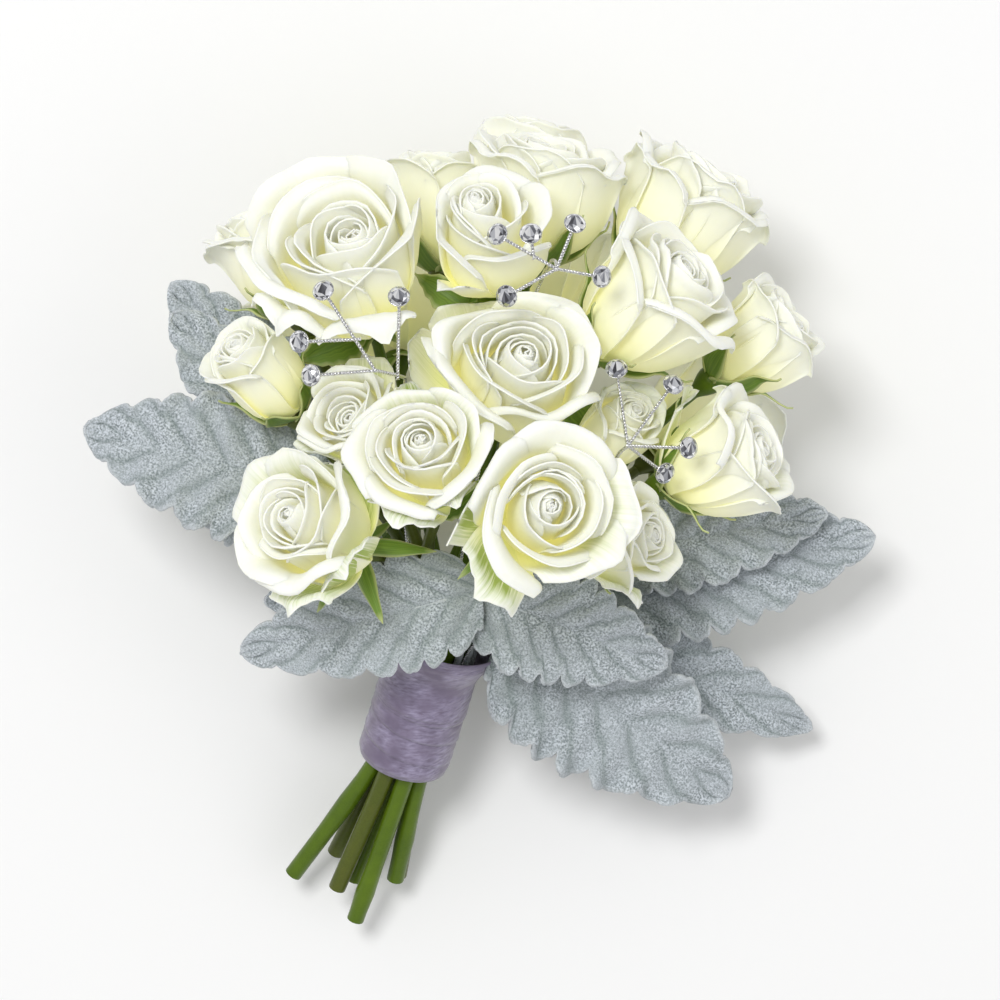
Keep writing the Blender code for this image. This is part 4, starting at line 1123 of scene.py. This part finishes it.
def leaf_outline(t, lobes, draw):
    """Half the blade's width along it, as a share of the widest: an oval with rounded lobes."""
    oval = np.sin(pi * (0.04 + 0.96 * np.clip(t, 0, 1)) ** 0.62) ** 0.55
    uneven = 0.25 * np.sin(2.6 * pi * t + draw.uniform(0, 6))
    notch = 1 - np.abs(np.sin(pi * (lobes * t + uneven))) ** 0.55
    small = 1 - np.abs(np.sin(pi * (2.3 * lobes * t + draw.uniform(0, 1)))) ** 0.5
    return oval * (1 - 0.24 * notch - 0.045 * small * smooth(t / 0.2))


def make_leaf(name, facts, bar, felt):
    """A lobed felted blade with sunken veins, on its stalk."""
    angle, root, tip, arch, width, lobes, roll = facts
    root, tip = Vector(root) * MM, Vector(tip) * MM
    along, *frame = leaf_frame(root, tip)
    way = along.normalized()
    side, up = (Matrix.Rotation(radians(roll), 3, way) @ v for v in frame)
    back = 8 * MM if name.startswith("leaf_front") else 5 * MM
    root, stalk_end = root - way * back, root
    rise = UP * arch * MM
    spine = (root, root + along / 3 + rise * 1.2, root + along * 2 / 3 + rise, tip)

    def on_spine(t):
        return cubic([np.array(p) for p in spine], t[..., None])

    draw = np.random.default_rng(300 + sorted(LEAVES).index(name))
    s, t = grid(30, 100)
    off = np.abs(s)
    left, right = leaf_outline(t, lobes, draw), leaf_outline(t, lobes, draw)
    half = width / 2 * MM * np.where(s < 0, left, right)
    fold = 0.16 * off - 0.10 * off * np.sin(pi * lobes * t) ** 2
    fan = t + 0.22 * (1 - off)
    lobe = np.abs(np.sin(pi * lobes * fan))
    vein = np.exp(-(((lobe - 1) / 0.05) ** 2)) * smooth(off / 0.1) * (1 - 0.5 * off)
    rib = np.exp(-((off / 0.05) ** 2)) * (1 - t)
    puff = 0.8 * (1 - lobe) ** 0.8 * smooth(off / 0.25) * (1 - 0.3 * off)
    wavy = 1.1 * off**3 * np.sin(2 * pi * lobes * t + draw.uniform(0, 6))
    relief = (puff - 0.7 * vein - 0.8 * rib + wavy) * MM
    points = on_spine(t) + spread(s * half, side) + spread(fold * half + relief, up)
    points = points + spread(0.30 * off * (1 - t) * half, way)
    points[..., 2] = np.maximum(points[..., 2], 0.6 * MM)
    # Painted shade for the felt: deepest in the vein grooves and in the hollows between the puffs.
    painted_groove_shade = vein + 0.7 * rib + 0.5 * np.clip(1 - puff / 1.2, 0, 1) ** 5 * smooth(off / 0.3)
    blades = Blades()
    blades.add(points, s, t, age_or_shade=np.clip(painted_groove_shade, 0, 1))
    blade = blades.object("blade", LEAF_SHEET, felt)
    bound = [round_handle(a * MM, STALK_RING_R, angle) for a in (-1, 34, 48)]
    leaving = bound.pop()
    bend = leaving + (ALONG * 0.7 + (root - leaving).normalized()) * 6 * MM
    arrive = stalk_end - (Vector(spine[1]) - root).normalized() * 7 * MM
    rib_line = [Vector(p) - up * 0.6 * MM for p in on_spine(np.array([0.18, 0.30, 0.50]))]
    line = bound + bezier((leaving, bend, arrive, stalk_end), 10) + rib_line
    thick = [STALK_R] * (len(line) - 3) + [0.9 * MM, 0.6 * MM, 0.25 * MM]
    stalk = bar.run(line_object("stalk", [line], [thick]), {"Sides": 10, "Finish": felt})
    return finished(joined(name + "_felt", [blade, stalk]), name)


# ---- Wire and stones ----

# Facets of a stone: radius, height, corners, shift. A silver cup: radius, height. Both in shares.
FACETS = ((0.56, 0.34, 8, 0.5), (0.82, 0.20, 8, 0.0), (1.0, 0.02, 16, 0.0), (0.97, -0.06, 16, 0.0))
FACETS += ((0.52, -0.36, 8, 0.5), (0, -0.6, 1, 0))
SILVER_CUP = ((0, -1.05), (0.24, -1.0), (0.26, -0.72), (0.60, -0.42), (0.90, -0.14), (1.0, -0.02))
SILVER_CUP += ((1.06, -0.02), (1.04, -0.16), (0.70, -0.52), (0.36, -0.80), (0.34, -1.06), (0, -1.12))
CLAW = ((0, 0), (0.22 * MM, 0.0), (0.22 * MM, 0.7 * MM), (0.24 * MM, 1.0 * MM), (0, 1.15 * MM))


def cut_stone():
    """A round cut stone: table, crown, girdle and point, in flat facets."""
    shape = bmesh.new()
    for radius, height, count, shift in FACETS:
        for corner in circle(radius * STONE_R, height * STONE_HIGH, count, shift):
            shape.verts.new(corner)
    bmesh.ops.convex_hull(shape, input=shape.verts)
    bmesh.ops.recalc_face_normals(shape, faces=shape.faces)
    return from_shape("cut_stone", shape)


def stone_cup():
    """The silver cup of a stone, with six claws over its girdle and a ferrule for the wire."""
    profile = [(r * STONE_R, h * STONE_HIGH) for r, h in SILVER_CUP]
    pieces = [turned("cup", profile, Vector(), Matrix.Identity(3), 20, None)]
    for out in circle(1, 0, 6):
        foot = out * 1.02 * STONE_R + UP * -0.15 * STONE_HIGH
        lean = Matrix.Rotation(radians(-28), 3, Vector((-out.y, out.x, 0)))
        pieces.append(turned("claw", CLAW, foot, lean, 6, None))
    return joined("stone_cup", pieces)


def points_object(name, places, facing):
    made = line_object(name, [[p] for p in places])
    ways = made.data.attributes.new("facing", "FLOAT_VECTOR", "POINT")
    ways.data.foreach_set("vector", [v for way in facing for v in way])
    return made


def make_wire_spray(name, facts, seed, twisted, on_points, cup, stone, silver, stone_look):
    """The twisted wire with its twigs, a silver cup on each twig and a stone in each cup."""
    angle, route, twigs = facts
    bound = [round_handle(a * MM, STALK_RING_R, angle) for a in (4, 36, 46)]
    ways = [rounded(bound + [Vector(p) * MM for p in route])]
    places, facing = [], []
    for leaves_at, stone_at in twigs:
        start, end = Vector(leaves_at) * MM, Vector(stone_at) * MM
        way = (end - start).normalized()
        up = (way + UP * 1.6).normalized()
        heel = end - up * 3.6 * MM
        ways.append(bezier((start - way * 0.4 * MM, start.lerp(heel, 0.4), heel - way * 2.5 * MM, heel), 10))
        places.append(end)
        facing.append(up)
    strands = {"Strand thickness": STRAND_THICK, "Length of a twist": TWIST_LONG, "Finish": silver}
    wire = twisted.run(line_object("wire", ways), strands)

    def on_twigs(title, part, look):
        values = {"Part": part, "Seed": seed, "Finish": look}
        return on_points.run(points_object(title, places, facing), values)

    finished(joined(name + "_wire", [wire, on_twigs("cups", cup, silver)]), name)
    finished(on_twigs(name + "_stones", stone, stone_look), name)


# ---- Ribbon and tape ----


def wound_strip(name, climb, wide, reach, radius_of, thick, look):
    """A strip wound round the handle. climb gives how far up the handle its lower edge is after
    so many turns, and radius_of the distance from the axis."""
    v, u = np.meshgrid(np.linspace(0, 1, 25), np.linspace(0, reach, int(72 * reach) + 1))
    along = climb(u) + v * wide
    radius = radius_of(u, along)
    angle = 2 * pi * u
    points = np.array(FOOT) + spread(along, ALONG)
    points = points + spread(radius * np.cos(angle), ACROSS) + spread(radius * np.sin(angle), OUT)
    blades = Blades()
    blades.add(points, v * 2 - 1, u / reach)
    made = blades.object(name, thick, look)
    length = reach * 2 * pi * (RIBBON_IN_R + RIBBON_THICK / 2)
    strip = made.data.uv_layers.new(name="strip")
    layer = np.empty(len(made.data.loops) * 2)
    made.data.uv_layers["blade"].data.foreach_get("uv", layer)
    layer = layer.reshape(-1, 2)[:, ::-1] * (length, wide)
    strip.data.foreach_set("uv", layer.ravel())
    return made, length


def make_ribbon(satin):
    """The satin ribbon: a level turn, four rising ones and a level one, that lap like shingles."""
    rise = RIBBON_TO - RIBBON_WIDE
    pitch = rise / RIBBON_RISING_TURNS
    reach = RIBBON_RISING_TURNS + 2 * RIBBON_LEVEL_TURN

    def climb(turns):
        return rise * smooth((turns - RIBBON_LEVEL_TURN) / RIBBON_RISING_TURNS)

    def radius_of(turns, along):
        under = (RIBBON_WIDE - along + climb(turns)) / pitch
        flare = RIBBON_FLARE * smooth((along - TAPE_TO) / (RIBBON_TO - TAPE_TO))
        up, angle = along / MM, 2 * pi * turns
        crease = 0.10 * np.sin(up * 2.1 + 1.3 * np.sin(angle + 0.4))
        crease = crease + 0.07 * np.sin(up * 4.7 - 2 * np.sin(2 * angle))
        lip = -0.7 * MM * np.exp(-((along / (1.2 * MM)) ** 2))
        return RIBBON_IN_R + RIBBON_LAYER * (0.6 + 0.8 * under + 0.12 * turns) + flare + crease * MM + lip

    made, length = wound_strip("satin_ribbon", climb, RIBBON_WIDE, reach, radius_of, SATIN_SHEET, satin)
    finished(made, "ribbon")


def make_tape(crepe):
    """The binding tape: four turns of narrow crepe under the ribbon."""
    rise = TAPE_TO - TAPE_FROM - TAPE_WIDE

    def climb(turns):
        return TAPE_FROM + rise * smooth((turns - 0.8) / 2.4)

    def radius_of(turns, along):
        return TAPE_IN_R + 0.1 * MM + 0.11 * MM * turns

    made, _ = wound_strip("crepe_tape", climb, TAPE_WIDE, 4.0, radius_of, CREPE_SHEET, crepe)
    finished(made, "binding_tape")


# ---- The studio ----

# The photograph is taken from straight above: how far off, and how wide it sees at a height.
REFERENCE_HIGH, FAR, SEEN = 72 * MM, 1.2, 0.3
PHOTO_MIDDLE = Vector((4, 85, 0)) * MM


def make_light(name, across, up, high, size, power):
    """A square light, across and up on the photograph, that aims at the blooms."""
    light = bpy.data.lights.new(name, "AREA")
    light.size, light.energy = size, power
    made = add_object(name, light)
    place = Matrix.Rotation(ROLL, 3, "Z") @ Vector((across, up, high))
    made.location = place
    made.rotation_euler = (UP * 0.06 - place).to_track_quat("-Z", "Y").to_euler()


def make_studio():
    world = bpy.data.worlds.new("studio")
    world.use_nodes = True
    sky = world.node_tree.nodes["Background"]
    sky.inputs["Color"].default_value = (1, 1, 1, 1)
    sky.inputs["Strength"].default_value = 0.62
    bpy.context.scene.world = world
    bpy.context.scene.view_settings.view_transform = "Standard"
    make_light("key", -0.36, 0.42, 1.7, 0.45, 14.3)
    make_light("fill", 0.9, -0.3, 1.2, 1.0, 2)
    shape = bmesh.new()
    bmesh.ops.create_grid(shape, x_segments=1, y_segments=1, size=3.0)
    pale = Finish("pale_floor", 0.8, Base_Color=(0.90, 0.90, 0.90, 1)).material
    from_shape("floor", shape, pale)
    camera = bpy.data.cameras.new("photo_view")
    camera.lens = camera.sensor_width * FAR / SEEN
    seat = add_object("photo_view", camera)
    seat.location = PHOTO_MIDDLE + MOVED + UP * (REFERENCE_HIGH + FAR - MOVED.z)
    seat.rotation_euler = (0, 0, ROLL)
    bpy.context.scene.camera = seat


def main():
    petal, felt, sepal_green, silver, stone_look = (
        finish() for finish in (petal_finish, leaf_finish, sepal_finish, silver_finish, stone_finish)
    )
    green = green_finish("rose_green", (0.105, 0.180, 0.003), (0.064, 0.120, 0.004))
    olive = green_finish("rose_olive", (0.088, 0.096, 0.012), (0.070, 0.095, 0.008))
    bar, twisted, on_points = round_bar_tree(), twisted_wire_tree(), set_on_points_tree()
    blooms = [Bloom(number, *facts) for number, facts in BLOOMS.items()]
    bars = bars_of({name: stem_plan(*facts, blooms) for name, facts in STEMS.items()})
    for bloom in blooms:
        bloom.settle(blooms, bars)
        make_rose(bloom, petal)
    for name, facts in STEMS.items():
        make_stem(name, facts, blooms, bar, olive if name in OLIVE_STEMS else green, sepal_green)
    for name, facts in LEAVES.items():
        make_leaf(name, facts, bar, felt)
    cup, stone = stone_cup(), cut_stone()
    for seed, (name, facts) in enumerate(WIRES.items()):
        make_wire_spray(name, facts, seed, twisted, on_points, cup, stone, silver, stone_look)
    for part in (cup, stone):
        bpy.data.objects.remove(part)
    make_tape(tape_finish())
    make_ribbon(satin_finish())
    make_studio()


main()
